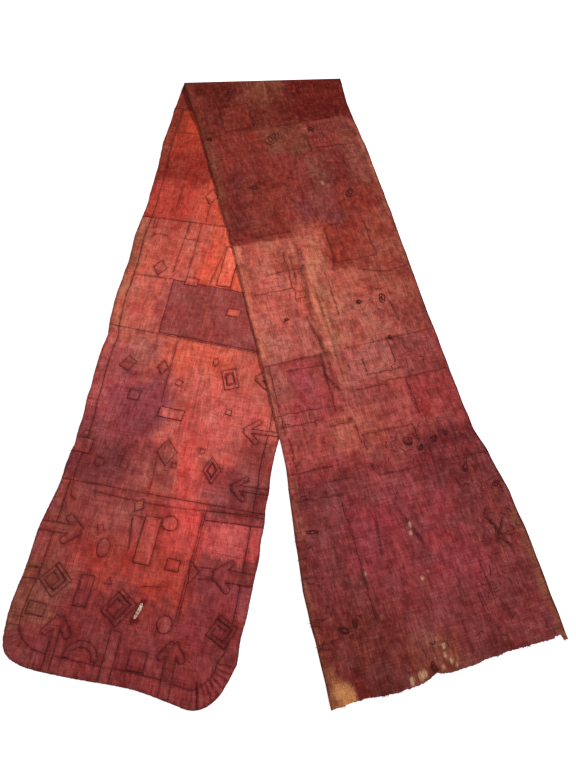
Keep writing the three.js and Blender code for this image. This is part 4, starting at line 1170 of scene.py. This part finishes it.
for node, panel, t, r, way, wide, arm, arm_wide, dye, much in ARROWS:
    bars = [bar(t, r, way, SHAFT, wide)]
    bars += [bar(t, r, way + spread, arm, arm_wide, ARM_BLUNT) for spread in (-ARM_SPREAD, ARM_SPREAD)]
    sew_on(node, bars, tint=(dye, much), cell=ARROW_CELL)

# Fin and arch
# A small three-sided piece beside the fifth arrow, and a half ring at the end.
FIN = [(132, 1920), (162, 1947), (140, 1980)]
ARCH_AT = (-89, 2197)
ARCH_OUTER = 44
ARCH_INNER = 29
ARCH_STEPS = 24
sew_on("fin", [on_front(FIN, NESTED_CELL)], tint=("maroon", 0.3), cell=NESTED_CELL)
half_turn = [math.pi * (1 + k / ARCH_STEPS) for k in range(ARCH_STEPS + 1)]
arch = [(ARCH_AT[0] + radius * math.cos(a), ARCH_AT[1] + radius * math.sin(a))
        for radius, turns in ((ARCH_OUTER, half_turn), (ARCH_INNER, half_turn[::-1])) for a in turns]
sew_on("arch", [on_front(arch, NESTED_CELL)], tint=("maroon", 0.25), cell=NESTED_CELL)

# Stitching
# Dark raffia thread in close stem stitch around every sewn piece, along the
# seams, and in the drawn lines between them. Each stitch is a small thread bead.
STITCH_SPACING = 5.0
STITCH_WAVER = 0.35
THREAD_WIDE = 1.9
FACE_THREAD_WIDE = 1.4
GATHER_THREAD_WIDE = 0.9
REVERSE_THREAD_WIDE = 1.5
SEAM_THREAD_WIDE = {"front": 1.6, "back": 1.2}
LOOSE_SPACING = 2.4
LOOSE_THREAD_WIDE = 2.1
LOOP_THREAD_WIDE = 2.6
LINE_OFF = 0.2
# A bead's length in spacings, and how much shorter or longer some are
BEAD_LONG = 1.3
BEAD_STRETCH = (0.8, 1.15)
BEAD_SIDES = 5
BEAD_RINGS = 3
LINE_STEP = 4
REVERSE_WAVER = 3.2
THREAD_DARK = "#3E0C0F"
THREAD_PALE = "#661A1C"
# Lines sewn on the face, and one dark thread laid round the hole's rim as painted shadow, as runs of (t, r)
FACE_LINES = [
    [(-74, 687), (-74, 765)], [(-193, 624), (-193, 713)], [(-275, 341), (-200, 341)],
    [(-128, 783), (-139, 1000)], [(-86, 787), (-86, 1020)], [(-128, 854), (-90, 854)],
    [(-249, 860), (-246, 850), (-220, 846), (-194, 850), (-190, 860)],
    [(-256, 783), (-256, 821), (-245, 821), (-245, 783)], [(-263, 1028), (-128, 1028)],
    [(70, 930), (68, 1040)], [(22, 868), (-4, 1030)], [(-59, 1265), (-59, 1478)],
    [(-26, 1665), (-26, 1765)], [(-275, 1400), (-254, 1400)], [(-276, 1500), (-247, 1500)],
    [(-290, 2122), (-262, 2122)], [(141, 1781), (126, 2075)], [(147, 1781), (132, 2070)],
    [(-52, 1836), (-39, 1914)], [(-60, 1825), (-17, 1827)], [(18, 2005), (87, 1996)],
    [(-243, 1783), (-240, 1797), (-226, 1805)], [(165, 1934), (194, 1934)], [(165, 1962), (194, 1962)],
    [(-280, 1670), (-228, 1672)], [(-69, 1996), (-59, 2012), (-80, 2012), (-69, 1996)],
    [(91, 1608), (105, 1608), (105, 1622), (91, 1622), (91, 1608)],
    [(19, 1662), (33, 1662), (33, 1676), (19, 1676), (19, 1662)],
    [(-140, 1663), (-128, 1663), (-128, 1693), (-140, 1693), (-140, 1663)],
    [(-140, 1868), (-126, 1862), (-120, 1880), (-132, 1893), (-140, 1868)],
    [(-180, 1775), (-60, 1786), (60, 1788), (290, 1776)],
    [(211, 2203), (218, 2230), (224, 2257)], [(213, 2203), (220, 2230), (226, 2257)],
    [(-4, 1606), (13, 1632), (-4, 1658), (-21, 1632), (-4, 1606)],
    [(26, 2045), (36, 2046)], [(26, 2049), (36, 2050)],
    # Dark thread along the hole's left and bottom rim, laid as painted shadow
    [(28, 2084), (20, 2088), (16, 2084), (19, 2071), (24, 2058), (26, 2044)],
]
# The gathers' stitches fan out around the lower corners, at these turns in degrees
GATHER_TURNS = (3, 13, 22, 34, 42, 53, 61, 72, 82, 90)
GATHER_STITCHES_AT = (70, 78, 86, 94)
# Rings sewn on the face: t, r, radius
FACE_RINGS = [(-189, 1690, 14)]
RING_POINTS = 16
# Patches, darns and folds sewn through to the reverse, as runs of (t, r)
REVERSE_LINES = [
    [(-205, 120), (-90, 120), (-90, 260), (-205, 260), (-205, 120)], [(100, 278), (100, 450)],
    [(100, 425), (262, 425)], [(49, 813), (49, 963)], [(-118, 891), (-118, 1091)],
    [(-200, 966), (-73, 966)], [(-245, 1038), (-112, 1038)], [(-118, 1085), (-84, 1085)],
    [(4, 1000), (4, 1170)], [(32, 1405), (149, 1405)], [(32, 1405), (32, 1350)], [(70, 1438), (277, 1438)],
    [(146, 1440), (146, 1562)], [(-18, 1449), (82, 1449)], [(-276, 1480), (-140, 1480)],
    [(-276, 1519), (-140, 1519)], [(-279, 1664), (-150, 1664)], [(-151, 1778), (-151, 2083)],
    [(-40, 1592), (115, 1592), (115, 1650)], [(-40, 1690), (-25, 1722), (80, 1724)],
    [(-40, 1592), (-40, 1640)], [(163, 2011), (163, 2100)], [(195, 812), (195, 965), (49, 965)],
    [(-207, 1340), (-95, 1340), (-95, 1500)],
    [(-123, 1546), (-70, 1544)], [(-51, 1560), (-51, 1615)], [(138, 1667), (138, 1720)],
    [(-255, 1560), (-255, 1700)], [(221, 1900), (240, 1935), (232, 1960), (262, 1990)],
    [(268, 1918), (240, 1950), (277, 1965)], [(120, 1010), (200, 1040), (290, 1030)],
    [(-262, 1310), (-262, 1540)], [(130, 1290), (130, 1380)], [(180, 1150), (190, 1230)],
    [(-314, 1850), (-284, 1853)], [(-316, 1900), (-290, 1897)], [(-317, 1947), (-276, 1951)],
    [(-318, 2058), (-282, 2056)], [(-320, 2066), (-292, 2068)], [(-318, 2114), (-268, 2110)],
    [(-314, 2122), (-286, 2126)], [(-300, 1962), (-270, 1975)], [(-280, 1745), (-150, 1752)],
]
# Loose loops and knots of thread on the reverse: t, r, width, length, turn
LOOPS = [
    (-271, 287, 16, 12, 20), (-35, 335, 58, 30, -40), (-152, 569, 30, 16, 10), (185, 669, 24, 30, 30),
    (163, 1141, 18, 30, 15), (288, 1822, 18, 14, 0), (85, 1642, 20, 26, 30), (-140, 35, 20, 34, 25),
    (125, 320, 16, 24, -30), (-168, 1155, 12, 9, 0), (82, 1138, 16, 10, 10), (140, 1294, 9, 16, 0),
    (163, 1650, 14, 20, 60), (200, 1640, 10, 16, 15), (118, 1668, 12, 16, 40), (220, 1755, 14, 22, 20),
    (-236, 2092, 26, 14, 25), (-205, 2085, 12, 20, 0), (-250, 1835, 24, 10, 5), (-40, 2225, 10, 26, 5),
]
LOOP_STEPS = 30
LOOP_TURNS = 1.75
LOOP_TAIL = 5
LOOP_TAIL_STEP = 2.5
# Where loose thread ends lie thick on the reverse: t, r, spread of both, how many
LOOSE_THREADS = [
    (250, 1930, 110, 260, 26), (-285, 1980, 50, 260, 16), (70, 1650, 160, 110, 16), (220, 1700, 120, 80, 9),
    (170, 2080, 150, 60, 9), (-270, 1730, 70, 40, 6), (-290, 290, 40, 60, 6), (-150, 30, 70, 50, 6),
    (180, 670, 40, 40, 5), (110, 300, 40, 40, 4), (-100, 950, 60, 120, 5), (150, 1140, 120, 80, 7),
    (-10, 2190, 420, 60, 12), (-210, 1560, 90, 120, 6), (170, 1400, 120, 120, 6),
]
LOOSE_STEP = 3
LOOSE_BEND = 3.0
LOOSE_SHORTEST = 10
LOOSE_LONGER = 18
LOOSE_INSIDE = 2
# Stitches along the free edges of the reverse: edge, how far off it, first s
HEMS = [(0, 2.2, -50), (1, -2.2, 74)]
HEM_END = 2225
# How much of a seam's thread stays hidden on the reverse
SEAM_HIDDEN = 0.38
# The stain and painted shade beside the thread: how dark, how far in full and in all, how much redder
STAIN_AND_SHADE_DEPTH = 0.24
STAIN_AND_SHADE_CLEAR = 1.5
STAIN_AND_SHADE_REACH = 8
STAIN_AND_SHADE_REDDER = 1.3


def bead_tree():
    """Sets thread beads along a mesh's edges."""
    tree = bpy.data.node_groups.new("thread beads", "GeometryNodeTree")
    sockets = tree.interface
    sockets.new_socket("Geometry", in_out="INPUT", socket_type="NodeSocketGeometry")
    for label, kind in (("Bead length", "Float"), ("Bead width", "Float"), ("Spacing", "Float"),
                        ("Waver", "Float"), ("Seed", "Int"), ("Thread", "Material")):
        sockets.new_socket(label, in_out="INPUT", socket_type="NodeSocket" + kind)
    sockets.new_socket("Geometry", in_out="OUTPUT", socket_type="NodeSocketGeometry")
    given = add_node(tree, "NodeGroupInput").outputs
    line = add_node(tree, "GeometryNodeMeshToCurve", {"Mesh": given["Geometry"]})
    marks = add_node(tree, "GeometryNodeCurveToPoints", {
        "Curve": line.outputs[0], "Length": given["Spacing"]}, mode="LENGTH")
    low = add_node(tree, "ShaderNodeMath", {0: given["Waver"], 1: -1.0}, operation="MULTIPLY")
    waver = add_node(tree, "FunctionNodeRandomValue", {
        "Min": low.outputs[0], "Max": given["Waver"], "Seed": given["Seed"]}, data_type="FLOAT_VECTOR")
    moved = add_node(tree, "GeometryNodeSetPosition", {
        "Geometry": marks.outputs["Points"], "Offset": waver.outputs[0]})
    bead = add_node(tree, "GeometryNodeMeshUVSphere", {
        "Segments": BEAD_SIDES, "Rings": BEAD_RINGS, "Radius": 0.5})
    turn = add_node(tree, "FunctionNodeAlignRotationToVector", {
        "Vector": marks.outputs["Tangent"]}, axis="Z")
    stretch = add_node(tree, "FunctionNodeRandomValue", {
        2: BEAD_STRETCH[0], 3: BEAD_STRETCH[1], "Seed": given["Seed"]}, data_type="FLOAT")
    length = add_node(tree, "ShaderNodeMath", {0: given["Bead length"], 1: stretch.outputs[1]},
                      operation="MULTIPLY")
    size = add_node(tree, "ShaderNodeCombineXYZ", {
        0: given["Bead width"], 1: given["Bead width"], 2: length.outputs[0]})
    beads = add_node(tree, "GeometryNodeInstanceOnPoints", {
        "Points": moved.outputs[0], "Instance": bead.outputs["Mesh"], "Rotation": turn.outputs[0],
        "Scale": size.outputs[0]})
    real = add_node(tree, "GeometryNodeRealizeInstances", {0: beads.outputs[0]})
    threaded = add_node(tree, "GeometryNodeSetMaterial", {
        "Geometry": real.outputs[0], "Material": given["Thread"]})
    add_node(tree, "NodeGroupOutput", {0: threaded.outputs[0]})
    return tree


def two_toned(material, scale, detail, dark, dark_at, pale, pale_at):
    """A fibre's uneven colour, from a dark tone to a paler one."""
    tree = material.node_tree
    where = add_node(tree, "ShaderNodeTexCoord").outputs["Object"]
    patchy = add_node(tree, "ShaderNodeTexNoise", {0: where, "Scale": scale, "Detail": detail})
    ramp = add_node(tree, "ShaderNodeValToRGB", {0: patchy.outputs[0]})
    for stop, tone, at in zip(ramp.color_ramp.elements, (dark, pale), (dark_at, pale_at)):
        stop.color = (*linear(tone), 1)
        stop.position = at
    return ramp.outputs[0]


# Twisted raffia thread, dyed nearly black: a dry matt fibre a little paler in places
thread = bpy.data.materials.new("dark raffia thread")
thread.use_nodes = True
thread.node_tree.nodes.clear()
thread_colour = two_toned(thread, 160.0, 3.0, THREAD_DARK, 0.35, THREAD_PALE, 0.7)
thread_place = add_node(thread.node_tree, "ShaderNodeTexCoord").outputs["Object"]
strands = add_node(thread.node_tree, "ShaderNodeTexNoise", {
    0: thread_place, "Scale": 2500.0, "Detail": 2.0})
twist = add_node(thread.node_tree, "ShaderNodeBump", {
    "Height": strands.outputs[0], "Strength": 0.5, "Distance": 0.0004})
thread_shader = add_node(thread.node_tree, "ShaderNodeBsdfPrincipled", {
    "Base Color": thread_colour, "Normal": twist.outputs[0], "Roughness": 0.8, "Specular IOR Level": 0.25})
add_node(thread.node_tree, "ShaderNodeOutputMaterial", {0: thread_shader.outputs[0]})
beads = bead_tree()


def stitched(name, points, edges, slot, spacing=STITCH_SPACING, wide=THREAD_WIDE, seed=1, fibre=thread):
    """A piece made of thread beads along the given edges."""
    mesh = bpy.data.meshes.new(name)
    mesh.from_pydata(points.tolist(), [tuple(edge) for edge in edges], [])
    piece = bpy.data.objects.new(name, mesh)
    bpy.context.scene.collection.objects.link(piece)
    sewing = piece.modifiers.new("sewing", "NODES")
    sewing.node_group = beads
    sockets = {item.name: item.identifier for item in beads.interface.items_tree if item.in_out == "INPUT"}
    sewing[sockets["Bead length"]] = BEAD_LONG * spacing * MM
    sewing[sockets["Bead width"]] = wide * MM
    sewing[sockets["Spacing"]] = spacing * MM
    sewing[sockets["Waver"]] = STITCH_WAVER * MM
    sewing[sockets["Seed"]] = seed
    sewing[sockets["Thread"]] = fibre
    made = bpy.data.meshes.new_from_object(piece.evaluated_get(bpy.context.evaluated_depsgraph_get()))
    piece.modifiers.remove(sewing)
    piece.data = made
    made.name = name
    made.polygons.foreach_set("use_smooth", [True] * len(made.polygons))
    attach(piece, "root")
    return piece


def joined_lines(lines):
    """Points and edges of several lines of places."""
    points, edges, first = [], [], 0
    for line in lines:
        points.append(line)
        edges += [(first + k, first + k + 1) for k in range(len(line) - 1)]
        first += len(line)
    return np.vstack(points), edges


def on_face(line):
    """A line sewn on the face, lying on the border where it crosses it."""
    t, s = line[:, 0], -line[:, 1]
    rise = (UNDER + APPLIED + EDGE_PUFF - CLOTH / 2) * smooth(border_depth(s, t), CLIMB_FROM, CLIMB_TO)
    return place(s, t, CLOTH / 2 + LINE_OFF + rise)


def on_reverse(line):
    return place(line[:, 1], line[:, 0], -CLOTH / 2 - LINE_OFF)


def ring(t, r, radius):
    turns = np.linspace(0, 2 * math.pi, RING_POINTS)
    return [(t + radius * math.cos(a), r + radius * math.sin(a)) for a in turns]


counts = np.cumsum([0] + [len(points) for points, _ in sewn_edges])
points = np.vstack([points for points, _ in sewn_edges])
edges = [(a + first, b + first) for first, (_, pairs) in zip(counts, sewn_edges) for a, b in pairs]
stitched("stitches_around_pieces", points, edges, "applied")

lines_on_face = [uneven(along_line(line, LINE_STEP)) for line in FACE_LINES]
lines_on_face += [uneven(np.array(ring(*row))) for row in FACE_RINGS]
points, edges = joined_lines([on_face(line) for line in lines_on_face])
# The face's lines include the dark thread laid as painted shadow round the hole
stitched("stitches_and_hole_shadow_on_face", points, edges, "face", wide=FACE_THREAD_WIDE, seed=2)

gathers = []
for t, r, side in CORNERS:
    for turn in np.radians(GATHER_TURNS):
        way = np.array([side * math.cos(turn), math.sin(turn)])
        gathers.append(np.array([(t, r) + way * far for far in GATHER_STITCHES_AT]))
points, edges = joined_lines([on_face(line) for line in gathers])
stitched("stitches_of_gathers", points, edges, "border", wide=GATHER_THREAD_WIDE, seed=6)


def loop_line(t, r, wide, long, turn, seed):
    """A loose loop of thread with a short tail, as places and heights off the reverse."""
    k = np.arange(LOOP_STEPS) / (LOOP_STEPS - 1)
    angle = 2 * math.pi * LOOP_TURNS * k
    wobble = (0.6 + 1.2 * lumps(70 * k, 0 * k + 50 * seed, 6, 9, 61)) * (1 - 0.5 * k)
    curl = np.column_stack([wide / 2 * wobble * np.cos(angle), long / 2 * wobble * np.sin(angle)])
    bends = np.cos(k[:LOOP_TAIL] * 9 + seed)
    tail = curl[-1] + np.cumsum(LOOP_TAIL_STEP * np.column_stack([bends, np.ones(LOOP_TAIL)]), axis=0)
    places = turned(np.vstack([curl, tail]), t, r, turn)
    n = np.arange(len(places))
    high = 0.3 + 1.2 * lumps(30 * n, 0 * n + seed * 40, 60, 9, 62)
    return np.array(places), high


def wander_line(t, r, long, way, seed):
    """A crooked thread lying on the reverse."""
    k = np.arange(max(3, round(long / LOOSE_STEP)))
    bend = math.radians(way) + LOOSE_BEND * (lumps(k * 1.0, 0.0 * k + 30 * seed, 3, 5, 63) - 0.5)
    steps = LOOSE_STEP * np.column_stack([np.cos(bend), np.sin(bend)])
    return np.array([t, r]) + np.cumsum(steps, axis=0)


loops, loose = [], []
for k, row in enumerate(LOOPS):
    places, high = loop_line(*row, k)
    loops.append(place(places[:, 1], places[:, 0], -CLOTH / 2 - high))
for t, r, across, down, count in LOOSE_THREADS:
    for k in range(count):
        at_t = t + across * (chance.random() - 0.5)
        at_r = r + down * (chance.random() - 0.5)
        long = LOOSE_SHORTEST + LOOSE_LONGER * chance.random()
        line = wander_line(at_t, at_r, long, 360 * chance.random(), k + t)
        a, b = edge_at(line[:, 1])
        line[:, 0] = np.clip(line[:, 0], a + LOOSE_INSIDE, b - LOOSE_INSIDE)
        loose.append(on_reverse(line))
points, edges = joined_lines(loops)
stitched("thread_loops", points, edges, "reverse", spacing=LOOSE_SPACING, wide=LOOP_THREAD_WIDE, seed=5)
points, edges = joined_lines(loose)
stitched("loose_threads", points, edges, "reverse", spacing=LOOSE_SPACING, wide=LOOSE_THREAD_WIDE, seed=5)

lines_on_reverse = [uneven(along_line(line, LINE_STEP), REVERSE_WAVER, seed=45) for line in REVERSE_LINES]
for edge, off, first in HEMS:
    s = np.arange(first, HEM_END, LINE_STEP)
    lines_on_reverse.append(np.column_stack([edge_at(s)[edge] + off, s]))
points, edges = joined_lines([on_reverse(line) for line in lines_on_reverse])
stitched("stitches_on_reverse", points, edges, "reverse", wide=REVERSE_THREAD_WIDE, seed=3)


def showing_parts(line):
    """The stretches of a seam where its thread comes through to the reverse."""
    shows = lumps(line[:, 0], line[:, 1], 55, 90, seed=71) > SEAM_HIDDEN
    parts = np.split(np.arange(len(line)), np.flatnonzero(np.diff(shows.astype(int))) + 1)
    return [line[part] for part in parts if shows[part[0]] and len(part) > 1]


seam_lines = {"front": [], "back": []}
for seam, (left, right) in SEAMS.items():
    a, b = edge_at(np.array([left, right], float))
    t = np.arange(a[0] + 1, b[1] - 1, LINE_STEP)
    line = np.column_stack([t, np.abs(seam_at(seam, t))])
    if left < 0:
        seam_lines["front"].append(line)
    else:
        seam_lines["back"] += showing_parts(line)
for leg, slot, on_side in (("front", "face", on_face), ("back", "reverse", on_reverse)):
    points, edges = joined_lines([on_side(line) for line in seam_lines[leg]])
    stitched("seam_thread_" + leg, points, edges, slot, wide=SEAM_THREAD_WIDE[leg], seed=4)

# The thread's dark dye has run a little way into the cloth beside it, and the same darkening is
# painted shade along the raised edges of the sewn pieces and round the hole's rim
drawn = [line * (1, -1) for line in lines_on_face + seam_lines["front"]]
drawn += lines_on_reverse + seam_lines["back"] + [hole_line]
stained_and_shaded = np.vstack(outlines + drawn)
near_thread = KDTree(len(stained_and_shaded))
for k, (t, s) in enumerate(stained_and_shaded):
    near_thread.insert((t, s, 0), k)
near_thread.balance()
for mesh, t, s in sheets:
    off_thread = np.array([near_thread.find((a, b, 0))[2] for a, b in zip(t, s)])
    layer = mesh.attributes["dye"].data
    colour = np.empty(4 * len(t))
    layer.foreach_get("color", colour)
    keep = 1 - STAIN_AND_SHADE_DEPTH * (1 - smooth(off_thread, STAIN_AND_SHADE_CLEAR, STAIN_AND_SHADE_REACH))
    less_green = keep ** STAIN_AND_SHADE_REDDER
    colour = colour.reshape(-1, 4) * np.column_stack([keep, less_green, less_green, np.ones(len(t))])
    layer.foreach_set("color", colour.ravel())

# Frayed ends
# Raffia splits into fine fibres where it is worn through or torn off: pale undyed
# ones cross the hole, and dark dyed ones stand out along the torn end.
FIBRES_IN_HOLE = 70
FIBRES_AT_END = 90
FIBRE_WIDE = 1.0
FIBRE_STEP = 1.5
HOLE_FIBRE_LONG = 9
HOLE_FIBRE_BOW = 2.5
HOLE_FIBRE_OFF = 0.4
END_FIBRE_SHORTEST = 3
END_FIBRE_LONGER = 7
END_FIBRE_SPREAD = 110
END_FIBRE_BOW = 2
END_FIBRE_TUCK = 1.5
FIBRE_DARK = "#8A5A48"
FIBRE_PALE = "#CDAE97"

pale_fibre = bpy.data.materials.new("undyed raffia fibre")
pale_fibre.use_nodes = True
fibre_shader = pale_fibre.node_tree.nodes["Principled BSDF"]
fibre_colour = two_toned(pale_fibre, 220.0, 2.0, FIBRE_DARK, 0.35, FIBRE_PALE, 0.6)
pale_fibre.node_tree.links.new(fibre_colour, fibre_shader.inputs["Base Color"])
fibre_shader.inputs["Roughness"].default_value = 0.8
fibre_shader.inputs["Specular IOR Level"].default_value = 0.2

across_hole, at_end = [], []
for k in range(FIBRES_IN_HOLE):
    a = hole_line[chance.integers(len(hole_line))]
    b = hole_line[chance.integers(len(hole_line))]
    b = a + (b - a) * min(1, HOLE_FIBRE_LONG / max(1e-6, float(np.hypot(*(b - a)))))
    middle = (a + b) / 2 + HOLE_FIBRE_BOW * (chance.random(2) - 0.5)
    line = rounded([a, middle, b], FIBRE_STEP)
    across_hole.append(place(line[:, 1], line[:, 0], HOLE_FIBRE_OFF))
for k in range(FIBRES_AT_END):
    start = torn_line[chance.integers(2, len(torn_line) - 2)] - (0, END_FIBRE_TUCK)
    way = math.radians(90 + END_FIBRE_SPREAD * (chance.random() - 0.5))
    long = END_FIBRE_SHORTEST + END_FIBRE_LONGER * chance.random() ** 2
    end = start + long * np.array([math.cos(way), math.sin(way)])
    middle = (start + end) / 2 + END_FIBRE_BOW * (chance.random(2) - 0.5)
    line = rounded([start, middle, end], FIBRE_STEP)
    at_end.append(place(line[:, 1], line[:, 0], -CLOTH / 4))
points, edges = joined_lines(across_hole)
stitched("fibres_in_hole", points, edges, "face", spacing=1.5, wide=2 * FIBRE_WIDE, seed=7,
         fibre=pale_fibre)
points, edges = joined_lines(at_end)
stitched("fibres_at_torn_end", points, edges, "reverse", spacing=1.6, wide=FIBRE_WIDE, seed=8)

# Floor, light and camera
# A plain pale floor with soft daylight from above and a little from the right.
CAMERA_AT = (0.0024, -1.0425, 1.60)
CAMERA_PITCH = 64
CAMERA_LENS = 27.05
FLOOR_HALF = 12
FLOOR_GLOW = 0.75
SKY_LIGHT = 0.36
# Place, size across and power of both lights
WINDOW_LIGHT = ((6.5, 4.2, 4.6), 1.6, 890)
FILL_LIGHT = ((-3.0, -4.0, 7.0), 4.0, 160)

floor_mesh = bpy.data.meshes.new("floor")
floor_mesh.from_pydata([(-FLOOR_HALF, -FLOOR_HALF, 0), (FLOOR_HALF, -FLOOR_HALF, 0),
                        (FLOOR_HALF, FLOOR_HALF, 0), (-FLOOR_HALF, FLOOR_HALF, 0)], [], [(0, 1, 2, 3)])
floor = bpy.data.objects.new("floor", floor_mesh)
bpy.context.scene.collection.objects.link(floor)
floor_finish = bpy.data.materials.new("pale matt floor")
floor_finish.use_nodes = True
floor_shader = floor_finish.node_tree.nodes["Principled BSDF"]
floor_shader.inputs["Base Color"].default_value = (0.6, 0.6, 0.6, 1)
floor_shader.inputs["Roughness"].default_value = 0.9
floor_shader.inputs["Specular IOR Level"].default_value = 0.1
floor_shader.inputs["Emission Color"].default_value = (1, 1, 1, 1)
floor_shader.inputs["Emission Strength"].default_value = FLOOR_GLOW
floor_mesh.materials.append(floor_finish)

world = bpy.data.worlds.new("soft daylight")
world.use_nodes = True
world.node_tree.nodes["Background"].inputs[0].default_value = (1, 1, 1, 1)
world.node_tree.nodes["Background"].inputs[1].default_value = SKY_LIGHT
bpy.context.scene.world = world


def soft_light(name, at, size, power):
    """A round soft light that shines on the middle of the cloth."""
    lamp = bpy.data.lights.new(name, "AREA")
    lamp.shape = "DISK"
    lamp.size = size
    lamp.energy = power
    light = bpy.data.objects.new(name, lamp)
    light.location = at
    light.rotation_euler = (-Vector(at)).to_track_quat("-Z", "Y").to_euler()
    bpy.context.scene.collection.objects.link(light)


soft_light("window light", *WINDOW_LIGHT)
soft_light("fill light", *FILL_LIGHT)

lens = bpy.data.cameras.new("camera")
lens.lens = CAMERA_LENS
lens.clip_start = 0.05
camera = bpy.data.objects.new("camera", lens)
camera.location = CAMERA_AT
camera.rotation_euler = (math.radians(90 - CAMERA_PITCH), 0, 0)
bpy.context.scene.collection.objects.link(camera)
bpy.context.scene.camera = camera
bpy.context.scene.view_settings.view_transform = "Standard"
